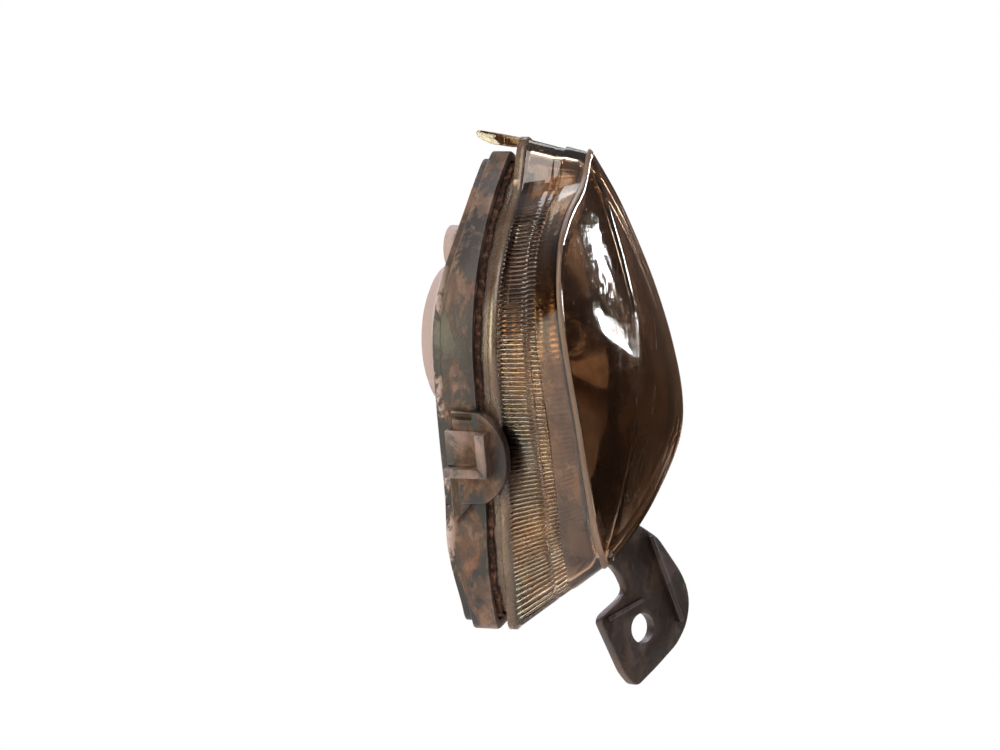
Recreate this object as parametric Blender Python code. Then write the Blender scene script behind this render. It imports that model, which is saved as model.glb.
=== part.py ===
"""Automotive fog light: sealed lamp with an aimable reflector, a bayonet rear cap and a moulded bolt ear.

Frame: the lamp looks along -Y and +Z is up. Shapes are written as (x, forward, z) in millimetres, where forward
is measured along -Y from the housing's front edge. The world origin is the seat of the bolt ear.
"""
import math

import bmesh
import bpy
from mathutils import Matrix, Vector

MM = 0.001

# Driving dimensions, in millimetres
HALF_STEPS = 22           # outline steps on each side of the lamp
RIM_NEAR = [(0, 62), (-9.6, 51), (-16.4, 40), (-21.3, 27), (-22.4, 12), (-19.6, -1), (-14.6, -17), (-10.3, -30),
            (-8.3, -42), (-5.2, -52), (0, -62)]
RIM_FAR = [(0, 62), (13, 56), (29, 42), (42, 22), (49, 4), (50, -8), (46, -22), (36, -38), (22, -51), (10, -58),
           (0, -62)]
CREASE_NEAR = [(0, 62), (-5.5, 53), (-15.7, 45.6), (-23, 37), (-25.6, 26), (-24.6, 17), (-20.6, 4), (-15.6, -9),
               (-12.2, -20), (-8.6, -30), (-5.2, -37.5), (0, -44)]
CREASE_FAR = [(0, 62), (13.5, 51.5), (23, 42), (34, 29), (43, 14.5), (48, 0), (45, -12), (29, -27), (13, -37.5),
              (0, -44)]
TIP_FACTOR = 1.3          # an inset moves the pointed ends this much more than the sides
BAND_DEPTH = 8.8          # skirt band at mid height
BAND_WALL = 1.9
CHANNEL_INNER = 7.5       # inset of the glue channel's inner wall
CHANNEL_DEPTH = 7.0
INNER_WALL = 9.5          # inset of the housing's inner face
LEG_OUTER = 3.3           # the lens leg in the channel, as insets
LEG_INNER = 5.8
FLANGE_START = 3.0        # forward position of the lens flange
FLANGE_END = 5.2
LENS_WALL = 2.4
CREASE_TOP = 21.9         # forward position of the crease at the top and bottom corners
CREASE_BOTTOM = 29.6
FACE_TURN = 0.10          # the face comes forward by this much of the distance to the far side
FACE_BULGE = 6.0
FACE_CENTRE = (14, 8)
CAP_CENTRE = (16, 14)     # rear opening, bulb and reflector neck
NECK_RADIUS = 18.5
NECK_BACK = 22.2
BORE_RADIUS = 17.3
REFLECTOR_EDGE = 12.0     # forward position of the reflector's front edge
REFLECTOR_NECK = -11.0
REFLECTOR_WALL = 1.8
REFLECTOR_HOLE = 6.8
REFLECTOR_CURVE = 1.3     # power that the bowl opens with
PIVOT_Z = -18.5
PIVOT_FORWARD = -6.6
PIVOT_X = (5.5, 23.5)
ADJUSTER = (3.5, 36.5)
EAR_HOLE = (66.0, 15.4, -63.0)
EAR_HOLE_RADIUS = 4.1
EAR_THICKNESS = 3.0
EAR_TURN = 28.0           # degrees that the ear's plate is turned away from facing forward
EAR_SEAT = (1.0, -50.0)   # point of the seat face, as (along the ear, z)
TAB_CENTRE = (-15.6, -17.0)
TAB_LEAN = 17.7           # degrees that the locating tab leans, following the rim
TAB_REACH = 7.9           # forward reach of the tab's round nose, its half length and its roundness
TAB_HALF = 12.9
TAB_NOSE_POWER = 2.6
LUG_SPACING = 120         # degrees between the cap's lugs, and the angles that each one spans
LUG_START = 50
LUG_END = 70
NOTCH_HALF = 13           # half the opening that a lug passes through, in degrees
REFLECTOR_INSET = 10.5    # inset of the reflector's front edge from the lens wall
REFLECTOR_LEVEL = 0.35    # share of the way from flange to crease that the edge's outline is taken at
BACK_STEP = 3.4           # depth of the shoulder where the domed back leaves the skirt band
DOME_DEPTH = 20.0         # depth of the domed back at the rear neck
DOME_CURVE = 1.3          # power that the back domes with
SHARP_ANGLE = 35          # degrees between faces that stay sharp
GAP = 0.3


def smoothstep(low, high, value):
    """Ease from 0 at low to 1 at high."""
    t = min(max((value - low) / (high - low), 0.0), 1.0)
    return t * t * (3 - 2 * t)


def catmull(p0, p1, p2, p3, t):
    """Point on a Catmull-Rom stretch between p1 and p2."""
    return tuple(0.5 * (2 * b + (c - a) * t + (2 * a - 5 * b + 4 * c - d) * t * t
                        + (3 * b - a - 3 * c + d) * t ** 3)
                 for a, b, c, d in zip(p0, p1, p2, p3))


def spline(points, steps):
    """Evenly spaced points on a smooth open curve through the given points."""
    padded = [points[0]] + points + [points[-1]]
    dense = [catmull(*padded[i:i + 4], j / 20) for i in range(len(points) - 1) for j in range(20)]
    dense.append(points[-1])
    lengths = [0.0]
    for a, b in zip(dense, dense[1:]):
        lengths.append(lengths[-1] + math.dist(a, b))
    result = []
    i = 0
    for step in range(steps + 1):
        target = lengths[-1] * step / steps
        while i < len(dense) - 2 and lengths[i + 1] < target:
            i += 1
        t = (target - lengths[i]) / (lengths[i + 1] - lengths[i])
        result.append(tuple(a + (b - a) * t for a, b in zip(dense[i], dense[i + 1])))
    return result


def outline(near, far):
    """Closed outline: down the near side from the top tip, then up the far side."""
    down = spline(near, HALF_STEPS)
    up = spline(far[::-1], HALF_STEPS)
    return down[:-1] + up[:-1]


def shrink(points, inset):
    """Scale an outline about its middle so that its sides move in by the inset."""
    xs = [p[0] for p in points]
    zs = [p[1] for p in points]
    cx = (min(xs) + max(xs)) / 2
    cz = (min(zs) + max(zs)) / 2
    kx = 1 - 2 * inset / (max(xs) - min(xs))
    kz = 1 - 2 * inset * TIP_FACTOR / (max(zs) - min(zs))
    return [(cx + (x - cx) * kx, cz + (z - cz) * kz) for x, z in points]


def mix(a, b, t):
    """Outline between two outlines."""
    return [tuple(p + (q - p) * t for p, q in zip(u, v)) for u, v in zip(a, b)]


def toward_circle(points, centre, radius):
    """Points of a circle, one in the direction of each outline point."""
    result = []
    for x, z in points:
        angle = math.atan2(z - centre[1], x - centre[0])
        result.append((centre[0] + radius * math.cos(angle), centre[1] + radius * math.sin(angle)))
    return result


RIM = outline(RIM_NEAR, RIM_FAR)
CREASE = outline(CREASE_NEAR, CREASE_FAR)


def lens_base():
    """Outline of the lens flange: inside the rim, but standing out past it at the two tips."""
    result = []
    for inner, top, bottom in zip(shrink(RIM, 2.6), shrink(RIM, -2.9), shrink(RIM, 0.0)):
        x, z = inner
        reach = top if z > 0 else bottom
        share = smoothstep(50, 58, abs(z))
        result.append((x + (reach[0] - x) * share, z + (reach[1] - z) * share))
    return result


BASE = lens_base()


def ring(points, forward):
    """Ring of 3D points at one forward position, or at one for each point."""
    if callable(forward):
        return [(x, forward(x, z), z) for x, z in points]
    return [(x, forward, z) for x, z in points]


def crease_forward(x, z):
    """Forward position of the face's plane, which carries the crease."""
    top, bottom = CREASE_NEAR[0][1], CREASE_NEAR[-1][1]
    return CREASE_TOP + (top - z) / (top - bottom) * (CREASE_BOTTOM - CREASE_TOP) + FACE_TURN * max(x, 0)


def wall(k, inset):
    """Ring of the lens side wall, from the flange at k = 0 to the crease at k = 1."""
    points = shrink(mix(BASE, CREASE, k), inset)
    ends = [crease_forward(x, z) for x, z in CREASE]
    return [(x, FLANGE_END + (end - FLANGE_END) * k, z) for (x, z), end in zip(points, ends)]


def face(s, inset):
    """Ring of the lens front face, from the crease at s = 1 inwards."""
    cx, cz = FACE_CENTRE
    points = [(cx + (x - cx) * s, cz + (z - cz) * s) for x, z in shrink(CREASE, inset)]
    rise = FACE_BULGE * (1 - s * s) - inset * 0.9
    return [(x, crease_forward(x, z) + rise, z) for x, z in points]


def place(point):
    """Lamp coordinates (x, forward, z) in millimetres to metres."""
    x, forward, z = point
    return Vector((x, -forward, z)) * MM


def ear_point(along, z, out):
    """Point of the ear: along its plate from the hole, height, and out of its front face."""
    turn = math.radians(EAR_TURN)
    x = EAR_HOLE[0] + along * math.cos(turn) - out * math.sin(turn)
    forward = EAR_HOLE[1] + along * math.sin(turn) + out * math.cos(turn)
    return (x, forward, z)


def tab_point(down, forward, out):
    """Point of the locating tab: down along the rim, forward, and outward from the rim."""
    lean = math.radians(TAB_LEAN)
    x = TAB_CENTRE[0] + down * math.sin(lean) - out * math.cos(lean)
    z = TAB_CENTRE[1] - down * math.cos(lean) - out * math.sin(lean)
    return (x, forward, z)


def loft(rings, closed=True, poles=(None, None)):
    """Bridge rings of equal length; closed joins the last ring to the first, poles close open ends."""
    bm = bmesh.new()
    rows = [[bm.verts.new(place(p)) for p in points] for points in rings]
    count = len(rows[0])
    pairs = list(zip(rows, rows[1:]))
    if closed:
        pairs.append((rows[-1], rows[0]))
    for a, b in pairs:
        for i in range(count):
            j = (i + 1) % count
            bm.faces.new((a[i], a[j], b[j], b[i]))
    for row, pole in ((rows[0], poles[0]), (rows[-1], poles[1])):
        if pole is not None:
            tip = bm.verts.new(place(pole))
            for i in range(count):
                bm.faces.new((row[i], row[(i + 1) % count], tip))
    bmesh.ops.recalc_face_normals(bm, faces=bm.faces)
    return bm


def turned(profile, centre, segments=32):
    """Solid of revolution about the forward axis; the profile is (radius, forward) points."""
    cx, cz = centre
    solid = all(r > 0 for r, _ in profile)
    body = profile if solid else profile[1:-1]
    turns = [2 * math.pi * i / segments for i in range(segments)]
    rings = [[(cx + r * math.cos(t), f, cz + r * math.sin(t)) for t in turns] for r, f in body]
    if solid:
        return loft(rings)
    ends = [(cx, profile[0][1], cz), (cx, profile[-1][1], cz)]
    return loft(rings, closed=False, poles=ends)


def rod(radius, back, front, centre, segments=24):
    """Plain cylinder along the forward axis."""
    return turned([(0, back), (radius, back), (radius, front), (0, front)], centre, segments)


def prism(points, near, far, mapping):
    """Flat outline given as (u, v), drawn out between two offsets by a mapping (u, v, offset)."""
    bm = bmesh.new()
    lower = [bm.verts.new(place(mapping(u, v, near))) for u, v in points]
    upper = [bm.verts.new(place(mapping(u, v, far))) for u, v in points]
    bm.faces.new(lower)
    bm.faces.new(upper[::-1])
    for i in range(len(points)):
        j = (i + 1) % len(points)
        bm.faces.new((lower[i], upper[i], upper[j], lower[j]))
    bmesh.ops.recalc_face_normals(bm, faces=bm.faces)
    return bm


def rectangle(u0, u1, v0, v1):
    """Corners of a rectangle."""
    return [(u0, v0), (u1, v0), (u1, v1), (u0, v1)]


def facing(centre):
    """Mapping that draws a flat outline about a centre out along the forward axis."""
    return lambda u, v, forward: (centre[0] + u, forward, centre[1] + v)


def arc(centre, radius, start, end, steps):
    """Points of an arc, with angles in degrees."""
    angles = [math.radians(start + (end - start) * i / steps) for i in range(steps + 1)]
    return [(centre[0] + radius * math.cos(a), centre[1] + radius * math.sin(a)) for a in angles]


def material(name, colour, roughness, metallic=0.0):
    """Principled material with one colour."""
    mat = bpy.data.materials.get(name) or bpy.data.materials.new(name)
    mat.use_nodes = True
    shader = mat.node_tree.nodes["Principled BSDF"]
    shader.inputs["Base Color"].default_value = (*colour, 1.0)
    shader.inputs["Roughness"].default_value = roughness
    shader.inputs["Metallic"].default_value = metallic
    return mat


FINISHES = {
    "housing_plastic": ((0.10, 0.07, 0.06), 0.7, 0.0),
    "lens_plastic": ((0.45, 0.36, 0.20), 0.15, 0.0),
    "sealant": ((0.16, 0.08, 0.04), 0.9, 0.0),
    "chrome": ((0.75, 0.74, 0.72), 0.12, 1.0),
    "zinc_steel": ((0.45, 0.42, 0.38), 0.4, 1.0),
    "black_rubber": ((0.02, 0.02, 0.02), 0.8, 0.0),
    "white_acetal": ((0.75, 0.73, 0.68), 0.5, 0.0),
    "bulb_glass": ((0.85, 0.88, 0.9), 0.05, 0.0),
    "tungsten": ((0.25, 0.25, 0.27), 0.4, 1.0),
    "brass": ((0.62, 0.48, 0.22), 0.35, 1.0),
}


def empty(name, location, parent=None):
    """Empty that carries a body; its location is in lamp coordinates."""
    holder = bpy.data.objects.new(name, None)
    holder.empty_display_size = 0.01
    bpy.context.scene.collection.objects.link(holder)
    holder.location = location
    if parent:
        holder.parent = parent
        holder.location = Vector(location) - Vector(parent["place"])
    holder["place"] = tuple(location)
    return holder


def part(name, bm, finish, holder, tool=False):
    """Object for a mesh in lamp coordinates, set at its holder's origin."""
    origin = Vector(holder["place"])
    bmesh.ops.translate(bm, verts=bm.verts, vec=-origin)
    mesh = bpy.data.meshes.new(name)
    bm.to_mesh(mesh)
    bm.free()
    mesh.shade_smooth()
    mesh.set_sharp_from_angle(angle=math.radians(SHARP_ANGLE))
    mesh.materials.append(material(finish, *FINISHES[finish]))
    obj = bpy.data.objects.new(name, mesh)
    bpy.context.scene.collection.objects.link(obj)
    obj.parent = holder
    if tool:
        obj.hide_render = True
        obj.display_type = "WIRE"
    return obj


def combine(target, operation, name, bm):
    """Join a solid to the target, or cut it away."""
    tool = part(name, bm, "zinc_steel", target.parent, tool=True)
    modifier = target.modifiers.new(name, "BOOLEAN")
    modifier.operation = operation
    modifier.solver = "EXACT"
    modifier.object = tool


def band_depth(z):
    """Depth of the skirt band, which is shallower at both tips."""
    return BAND_DEPTH - 3.8 * smoothstep(15, 52, z) - 2.2 * smoothstep(-40, -60, z)


def dome_ring(k, start, edge_inset, radius, end_depth):
    """Ring of the domed back, from the rear opening at k = 0 to the shoulder at k = 1."""
    edge = shrink(RIM, edge_inset)
    points = mix(toward_circle(edge, CAP_CENTRE, radius), edge, k)
    result = []
    for (x, z), (_, rim_z) in zip(points, RIM):
        depth = band_depth(rim_z) + start
        depth += (end_depth - depth) * (1 - k) ** DOME_CURVE
        result.append((x, -depth, z))
    return result


def screw_places():
    """Centres of the four bezel screws, as (x, z)."""
    line = shrink(RIM, 10.9)
    steps = len(line)
    return [line[round(steps * share)] for share in (0.13, 0.36, 0.66, 0.86)]


def make_housing(frame):
    """Rear shell with glue channel, domed back, ear, locating tab, bosses and rear neck."""
    def back(inset, extra):
        return [(x, -band_depth(rim_z) - extra, z) for (x, z), (_, rim_z) in zip(shrink(RIM, inset), RIM)]

    neck = toward_circle(shrink(RIM, 3.2), CAP_CENTRE, NECK_RADIUS)
    bore = toward_circle(shrink(RIM, INNER_WALL), CAP_CENTRE, BORE_RADIUS)
    lip = toward_circle(shrink(RIM, INNER_WALL), CAP_CENTRE, 15.2)
    rings = [ring(RIM, 0), back(0, 0), back(1.5, 0.5), back(1.5, 2.6), back(3.2, BACK_STEP)]
    rings += [dome_ring(k, BACK_STEP, 3.2, NECK_RADIUS, DOME_DEPTH) for k in (0.8, 0.55, 0.3, 0.12, 0.0)]
    rings += [ring(neck, -NECK_BACK), ring(bore, -NECK_BACK), ring(bore, -19.4), ring(lip, -19.4)]
    rings += [ring(lip, -18.3), ring(bore, -18.3)]
    rings += [dome_ring(k, 1.0, INNER_WALL, BORE_RADIUS, 17.8) for k in (0.12, 0.3, 0.55, 0.8, 1.0)]
    rings += [ring(shrink(RIM, INNER_WALL), -1.0), ring(shrink(RIM, CHANNEL_INNER), -1.0)]
    rings += [ring(shrink(RIM, CHANNEL_INNER), channel_floor), ring(shrink(RIM, BAND_WALL), channel_floor)]
    rings += [ring(shrink(RIM, BAND_WALL), 0)]
    housing = part("housing", loft(rings), "housing_plastic", frame)
    boss = rod(5.8, -17.0, -10.0, ADJUSTER, 32)
    combine(housing, "UNION", "adjuster_boss", boss)
    bore_steps = [(0, -18.0), (4.3, -18.0), (4.3, -13.6), (3.7, -13.6)]
    bore_steps += [(3.7, -9.8), (6.2, -9.8), (6.2, -4.0), (0, -4.0)]
    combine(housing, "DIFFERENCE", "adjuster_bore", turned(bore_steps, ADJUSTER, 28))
    for i, x in enumerate(PIVOT_X):
        combine(housing, "UNION", f"pivot_boss_{i + 1}", rod(4.0, -14.5, PIVOT_FORWARD - 4, (x, PIVOT_Z), 16))
    for i, centre in enumerate(screw_places()):
        combine(housing, "UNION", f"screw_boss_{i + 1}", rod(2.8, -9.0, -1.2, centre, 16))
        combine(housing, "DIFFERENCE", f"screw_hole_{i + 1}", rod(1.35, -7.5, 1.0, centre, 12))
    for i in range(3):
        angle = LUG_SPACING * i
        sector = [(0, 0)] + arc((0, 0), 17.1, angle - NOTCH_HALF, angle + NOTCH_HALF, 4)
        notch = prism(sector, -20.0, -17.9, facing(CAP_CENTRE))
        combine(housing, "DIFFERENCE", f"cap_notch_{i + 1}", notch)
    add_ear(housing)
    add_tab(housing)
    return housing


def channel_floor(x, z):
    """Floor of the glue channel, shallower with the band towards the tips."""
    return -min(CHANNEL_DEPTH, band_depth(z) - 1.6)


def add_ear(housing):
    """Bolt ear: an L-shaped plate with a bolt hole, an edge rib and a stepped pocket."""
    arm = [(-23, -29.0), (-10, -32.0), (-1, -35.8), (4.8, -38.7), (13.2, -47.7), (15.5, -51.3)]
    nose = [(16.7, -55.1), (16.7, -58.6), (15.7, -62.8), (12.7, -67.5), (5.6, -73.5), (-0.7, -78.3)]
    foot = [(-2.7, -78.1), (-6.2, -75.0), (-14.8, -61.4), (-14.1, -59.6), (-7.7, -55.2), (-5.8, -52.7)]
    inner = [(-8.7, -48.2), (-12.5, -45.3), (-22, -42.5)]
    plate = arm + nose + foot + inner
    root = [p for p in shrink(RIM, 1.0) if p[0] > 30 and -43 < p[1] < -26]
    root += [(50.5, -27.5), (50.5, -41.0), (40.0, -45.0)]
    lift = prism(root, -8.0, 4.6, lambda u, v, f: (u, f, v))
    combine(housing, "UNION", "ear_root", lift)

    combine(housing, "UNION", "ear_plate", prism(plate, -EAR_THICKNESS, 0, ear_point))
    rib = [(0.4, -38.4), (1.7, -38.0), (13.8, -60.9), (12.4, -61.5)]
    combine(housing, "UNION", "ear_rib", prism(rib, -1.0, 1.5, ear_point))
    hole = arc((0, EAR_HOLE[2]), EAR_HOLE_RADIUS, 0, 360, 32)[:-1]
    combine(housing, "DIFFERENCE", "ear_hole", prism(hole, -8, 8, ear_point))


def add_tab(housing):
    """Locating tab: a round-nosed plate outside the lens, with a box-shaped pocket on it."""
    nose = [(u, TAB_REACH * (1 - (abs(u) / TAB_HALF) ** TAB_NOSE_POWER)) for u in range(-12, 13, 2)]
    outline_points = [(-12.5, -6.0)] + nose + [(12.5, -6.0)]
    combine(housing, "UNION", "tab_plate", prism(outline_points, -1.7, 1.5, tab_point))
    box = rectangle(-7.4, 4.2, -8.0, 4.0)
    combine(housing, "UNION", "tab_box", prism(box, -0.3, 5.6, tab_point))
    pocket = rectangle(-6.2, 2.6, -6.6, 2.7)
    combine(housing, "DIFFERENCE", "tab_pocket", prism(pocket, 2.4, 7.0, tab_point))


def make_lens(frame):
    """Clear cover: leg in the channel, flange, side wall, crease, bulged face and top tongue."""
    def leg_end(x, z):
        return channel_floor(x, z) + 1.6

    rings = [ring(shrink(RIM, LEG_OUTER), leg_end), ring(shrink(RIM, LEG_OUTER), FLANGE_START)]
    rings += [ring(BASE, FLANGE_START), ring(BASE, FLANGE_END)]
    rings += [wall(0.02, 0.5), wall(0.3, 0.5), wall(0.58, 0.5), wall(0.63, 0), wall(0.97, 0), wall(1, 0)]
    rings += [face(s, 0) for s in (0.85, 0.65, 0.42, 0.2)]
    inner = [ring(shrink(RIM, LEG_INNER), leg_end), ring(shrink(RIM, LEG_INNER), FLANGE_START + 0.2)]
    inner += [wall(k, LENS_WALL + 0.4) for k in (0.05, 0.3)]
    inner += [wall(0.6, LENS_WALL)]
    inner += [face(s, LENS_WALL) for s in (0.99, 0.85, 0.65, 0.42, 0.2)]
    cx, cz = FACE_CENTRE
    tip = crease_forward(cx, cz) + FACE_BULGE
    poles = ((cx, tip, cz), (cx, tip - LENS_WALL * 0.9, cz))
    lens = part("lens", loft(rings[::-1] + inner, closed=False, poles=poles), "lens_plastic", frame)
    combine(lens, "UNION", "lens_tongue", tongue())
    return lens


def tongue():
    """Tongue of the lens that runs back over the housing's top tip."""
    span = (-2, -1, 0, 1, 2)
    top = [shrink(RIM, -2.9)[i] for i in span]
    under = [shrink(RIM, -0.5)[i] for i in span]
    bm = bmesh.new()
    rows = []
    for forward, lift, narrow in ((4.2, 0.0, 1.0), (0.0, 0.2, 1.0), (-5.0, 0.5, 0.95), (-8.5, 0.9, 0.7)):
        section = [(x * narrow, forward, z + lift) for x, z in top + under[::-1]]
        rows.append([bm.verts.new(place(p)) for p in section])
    for a, b in zip(rows, rows[1:]):
        for i in range(len(a)):
            j = (i + 1) % len(a)
            bm.faces.new((a[i], a[j], b[j], b[i]))
    for row in (rows[0], rows[-1]):
        for i in range(len(span) - 1):
            bm.faces.new((row[i], row[i + 1], row[-2 - i], row[-1 - i]))
    bmesh.ops.recalc_face_normals(bm, faces=bm.faces)
    return bm


def make_sealant(frame):
    """Butyl bead that fills the glue channel round the lens leg."""
    def floor(x, z):
        return channel_floor(x, z) + 2 * GAP

    def under_leg(x, z):
        return channel_floor(x, z) + 1.25

    def at(inset, forward):
        return ring(shrink(RIM, inset), forward)

    rings = [at(2.3, 1.0), at(2.3, floor), at(7.1, floor), at(7.1, -2.0), at(6.1, -2.0), at(6.1, under_leg)]
    rings += [at(3.0, under_leg), at(3.0, 1.0)]
    return part("sealant_bead", loft(rings), "sealant", frame)


def make_bezel(frame):
    """Chromed inner trim with a screw flange on the housing's inner wall."""
    def at(inset, forward):
        return ring(shrink(RIM, inset), forward)

    rings = [at(7.7, -0.7), at(7.7, 1.2), wall(0.12, 4.9), wall(0.5, 4.7), wall(0.84, 4.6), wall(0.84, 6.0)]
    rings += [wall(0.5, 6.1), wall(0.12, 6.1), at(8.7, 0.9), at(12.4, 0.9), at(12.4, -0.7)]
    bezel = part("bezel", loft(rings), "chrome", frame)
    combine(bezel, "DIFFERENCE", "adjuster_relief", rod(7.0, -2.0, 2.5, ADJUSTER))
    for i, centre in enumerate(screw_places()):
        combine(bezel, "DIFFERENCE", f"bezel_hole_{i + 1}", rod(1.4, -3.0, 3.0, centre, 16))
        profile = [(0, -6.5), (1.0, -6.5), (1.0, 1.2), (1.7, 1.2), (1.7, 2.1), (1.2, 2.6), (0, 2.6)]
        part(f"bezel_screw_{i + 1}", turned(profile, centre, 12), "zinc_steel", frame)


def make_pivots(frame, reflector_axis):
    """Two ball studs on the housing and the sockets that they carry the reflector by."""
    for i, x in enumerate(PIVOT_X):
        ball = arc((0, PIVOT_FORWARD), 2.4, -52, 90, 8)
        foot = [(0, -3.7), (3.2, -3.7), (3.2, -2.8), (1.45, -2.8)]
        profile = [(r, PIVOT_FORWARD + f) for r, f in foot] + ball[:-1] + [(0, PIVOT_FORWARD + 2.4)]
        part(f"pivot_stud_{i + 1}", turned(profile, (x, PIVOT_Z), 14), "white_acetal", frame)
        cup = arc((0, PIVOT_FORWARD), 2.75, -35, 90, 8)
        shell = [(4.0, -1.4), (4.0, 2.55), (1.7, 2.55)]
        socket = [(r, PIVOT_FORWARD + f) for r, f in shell] + [p for p in cup[::-1] if p[0] > 1.65]
        part(f"pivot_socket_{i + 1}", turned(socket, (x, PIVOT_Z), 16), "white_acetal", reflector_axis)


def reflector_ring(k, back):
    """Ring of the reflector bowl, from its neck at k = 0 to its front edge at k = 1."""
    edge = shrink(mix(BASE, CREASE, REFLECTOR_LEVEL), REFLECTOR_INSET)
    points = mix(toward_circle(edge, CAP_CENTRE, REFLECTOR_HOLE), edge, k)
    forward = REFLECTOR_NECK + (REFLECTOR_EDGE - REFLECTOR_NECK) * k ** REFLECTOR_CURVE - back
    return ring(points, forward)


def make_reflector(axis):
    """Metallised bowl with a neck for the bulb and three bosses on its back."""
    steps = (0.0, 0.2, 0.4, 0.6, 0.8, 1.0)
    front = [reflector_ring(k, 0) for k in steps]
    rear = [reflector_ring(k, REFLECTOR_WALL) for k in steps[::-1]]
    reflector = part("reflector", loft(front + rear), "chrome", axis)
    for i, x in enumerate(PIVOT_X):
        pad = rod(4.0, PIVOT_FORWARD + 2.85, reflector_rise(x, PIVOT_Z), (x, PIVOT_Z))
        combine(reflector, "UNION", f"pivot_pad_{i + 1}", pad)
    combine(reflector, "UNION", "adjuster_pad", rod(5.2, -5.4, reflector_rise(*ADJUSTER), ADJUSTER))
    pocket = [(0, -7.0), (3.95, -7.0), (3.95, -4.3), (2.6, -4.3), (2.6, -2.9), (0, -2.9)]
    combine(reflector, "DIFFERENCE", "adjuster_pocket", turned(pocket, ADJUSTER, 20))
    return reflector


def reflector_rise(x, z):
    """Forward position inside the reflector's wall at a point, for the end of a boss."""
    edge = shrink(mix(BASE, CREASE, REFLECTOR_LEVEL), REFLECTOR_INSET)
    angle = math.atan2(z - CAP_CENTRE[1], x - CAP_CENTRE[0])
    near = min(edge, key=lambda p: abs(math.atan2(p[1] - CAP_CENTRE[1], p[0] - CAP_CENTRE[0]) - angle))
    reach = math.dist(near, CAP_CENTRE) - REFLECTOR_HOLE
    k = (math.dist((x, z), CAP_CENTRE) - REFLECTOR_HOLE) / reach
    return REFLECTOR_NECK + (REFLECTOR_EDGE - REFLECTOR_NECK) * k ** REFLECTOR_CURVE - REFLECTOR_WALL * 0.5


def make_adjuster(screw_axis, nut_axis, reflector_axis, frame):
    """Aim screw in its bush, with a seal and retaining ring, and the nut in the reflector's socket."""
    screw = [(0, -16.6), (3.3, -16.6), (3.3, -14.6), (2.0, -14.6), (2.0, -10.0), (1.5, -10.0), (1.5, -8.9)]
    screw += [(2.0, -8.9), (2.0, -5.0), (1.6, -4.6), (0, -4.6)]
    obj = part("adjuster_screw", turned(screw, ADJUSTER, 18), "zinc_steel", screw_axis)
    slot = prism(rectangle(-0.5, 0.5, -2.6, 2.6), -18.0, -15.6, facing(ADJUSTER))
    combine(obj, "DIFFERENCE", "driver_slot", slot)
    bush = [(2.3, -13.3), (3.4, -13.3), (3.4, -10.2), (2.3, -10.2)]
    part("adjuster_bush", turned(bush, ADJUSTER, 18), "white_acetal", frame)
    seal = [(2.3, -14.3), (3.2, -14.3), (3.2, -13.6), (2.3, -13.6)]
    part("adjuster_seal", turned(seal, ADJUSTER, 18), "black_rubber", frame)
    clip = [(1.8, -9.7), (3.3, -9.7), (3.3, -9.2), (1.8, -9.2)]
    part("adjuster_ring", turned(clip, ADJUSTER, 18), "zinc_steel", screw_axis)
    nut = [(2.6, -7.5), (3.7, -7.5), (3.7, -4.6), (2.6, -4.6)]
    part("adjuster_nut", turned(nut, ADJUSTER, 6), "brass", nut_axis)
    socket = [(4.2, -8.0), (5.2, -8.0), (5.2, -5.7), (4.2, -5.7)]
    part("adjuster_socket", turned(socket, ADJUSTER, 18), "white_acetal", reflector_axis)


def make_bulb(axis):
    """Halogen bulb: base, glass capsule open at its foot, filament on its posts, and two terminals."""
    base = [(0, -16.6), (5.6, -16.6), (5.6, -14.2), (8.8, -14.2), (8.8, -13.2), (6.0, -13.2), (6.0, -9.5), (0, -9.5)]
    part("bulb_base", turned(base, CAP_CENTRE, 32), "zinc_steel", axis)
    dome = arc((0, 9.5), 5.0, 0, 90, 5)
    bore = arc((0, 9.5), 4.2, 0, 90, 5)
    # The capsule is a tube with a round end: its profile runs up the outside and down the inside.
    outer = [(5.0, -9.2)] + dome[:-1]
    inner = [(4.2, -9.2)] + bore[:-1]
    rings = [[(CAP_CENTRE[0] + r * math.cos(t), f, CAP_CENTRE[1] + r * math.sin(t))
              for t in (2 * math.pi * i / 24 for i in range(24))] for r, f in outer[::-1] + inner]
    poles = ((CAP_CENTRE[0], 14.5, CAP_CENTRE[1]), (CAP_CENTRE[0], 13.7, CAP_CENTRE[1]))
    part("bulb_capsule", loft(rings, closed=False, poles=poles), "bulb_glass", axis)
    filament = part("bulb_filament", rod(1.0, -4.5, 4.0, (CAP_CENTRE[0], CAP_CENTRE[1]), 12), "tungsten", axis)
    post = rectangle(-2.8, 2.8, -9.1, -4.0)
    combine(filament, "UNION", "filament_posts", prism(post, -0.4, 0.4, bulb_point))
    for i, side in enumerate((-1, 1)):
        blade = prism(rectangle(side * 3.2 - 0.4, side * 3.2 + 0.4, -19.4, -16.9), -2.0, 2.0, bulb_point)
        part(f"bulb_terminal_{i + 1}", blade, "brass", axis)


def bulb_point(u, forward, offset):
    """Point of the bulb: sideways, forward and up from its axis."""
    return (CAP_CENTRE[0] + u, forward, CAP_CENTRE[1] + offset)


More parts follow.
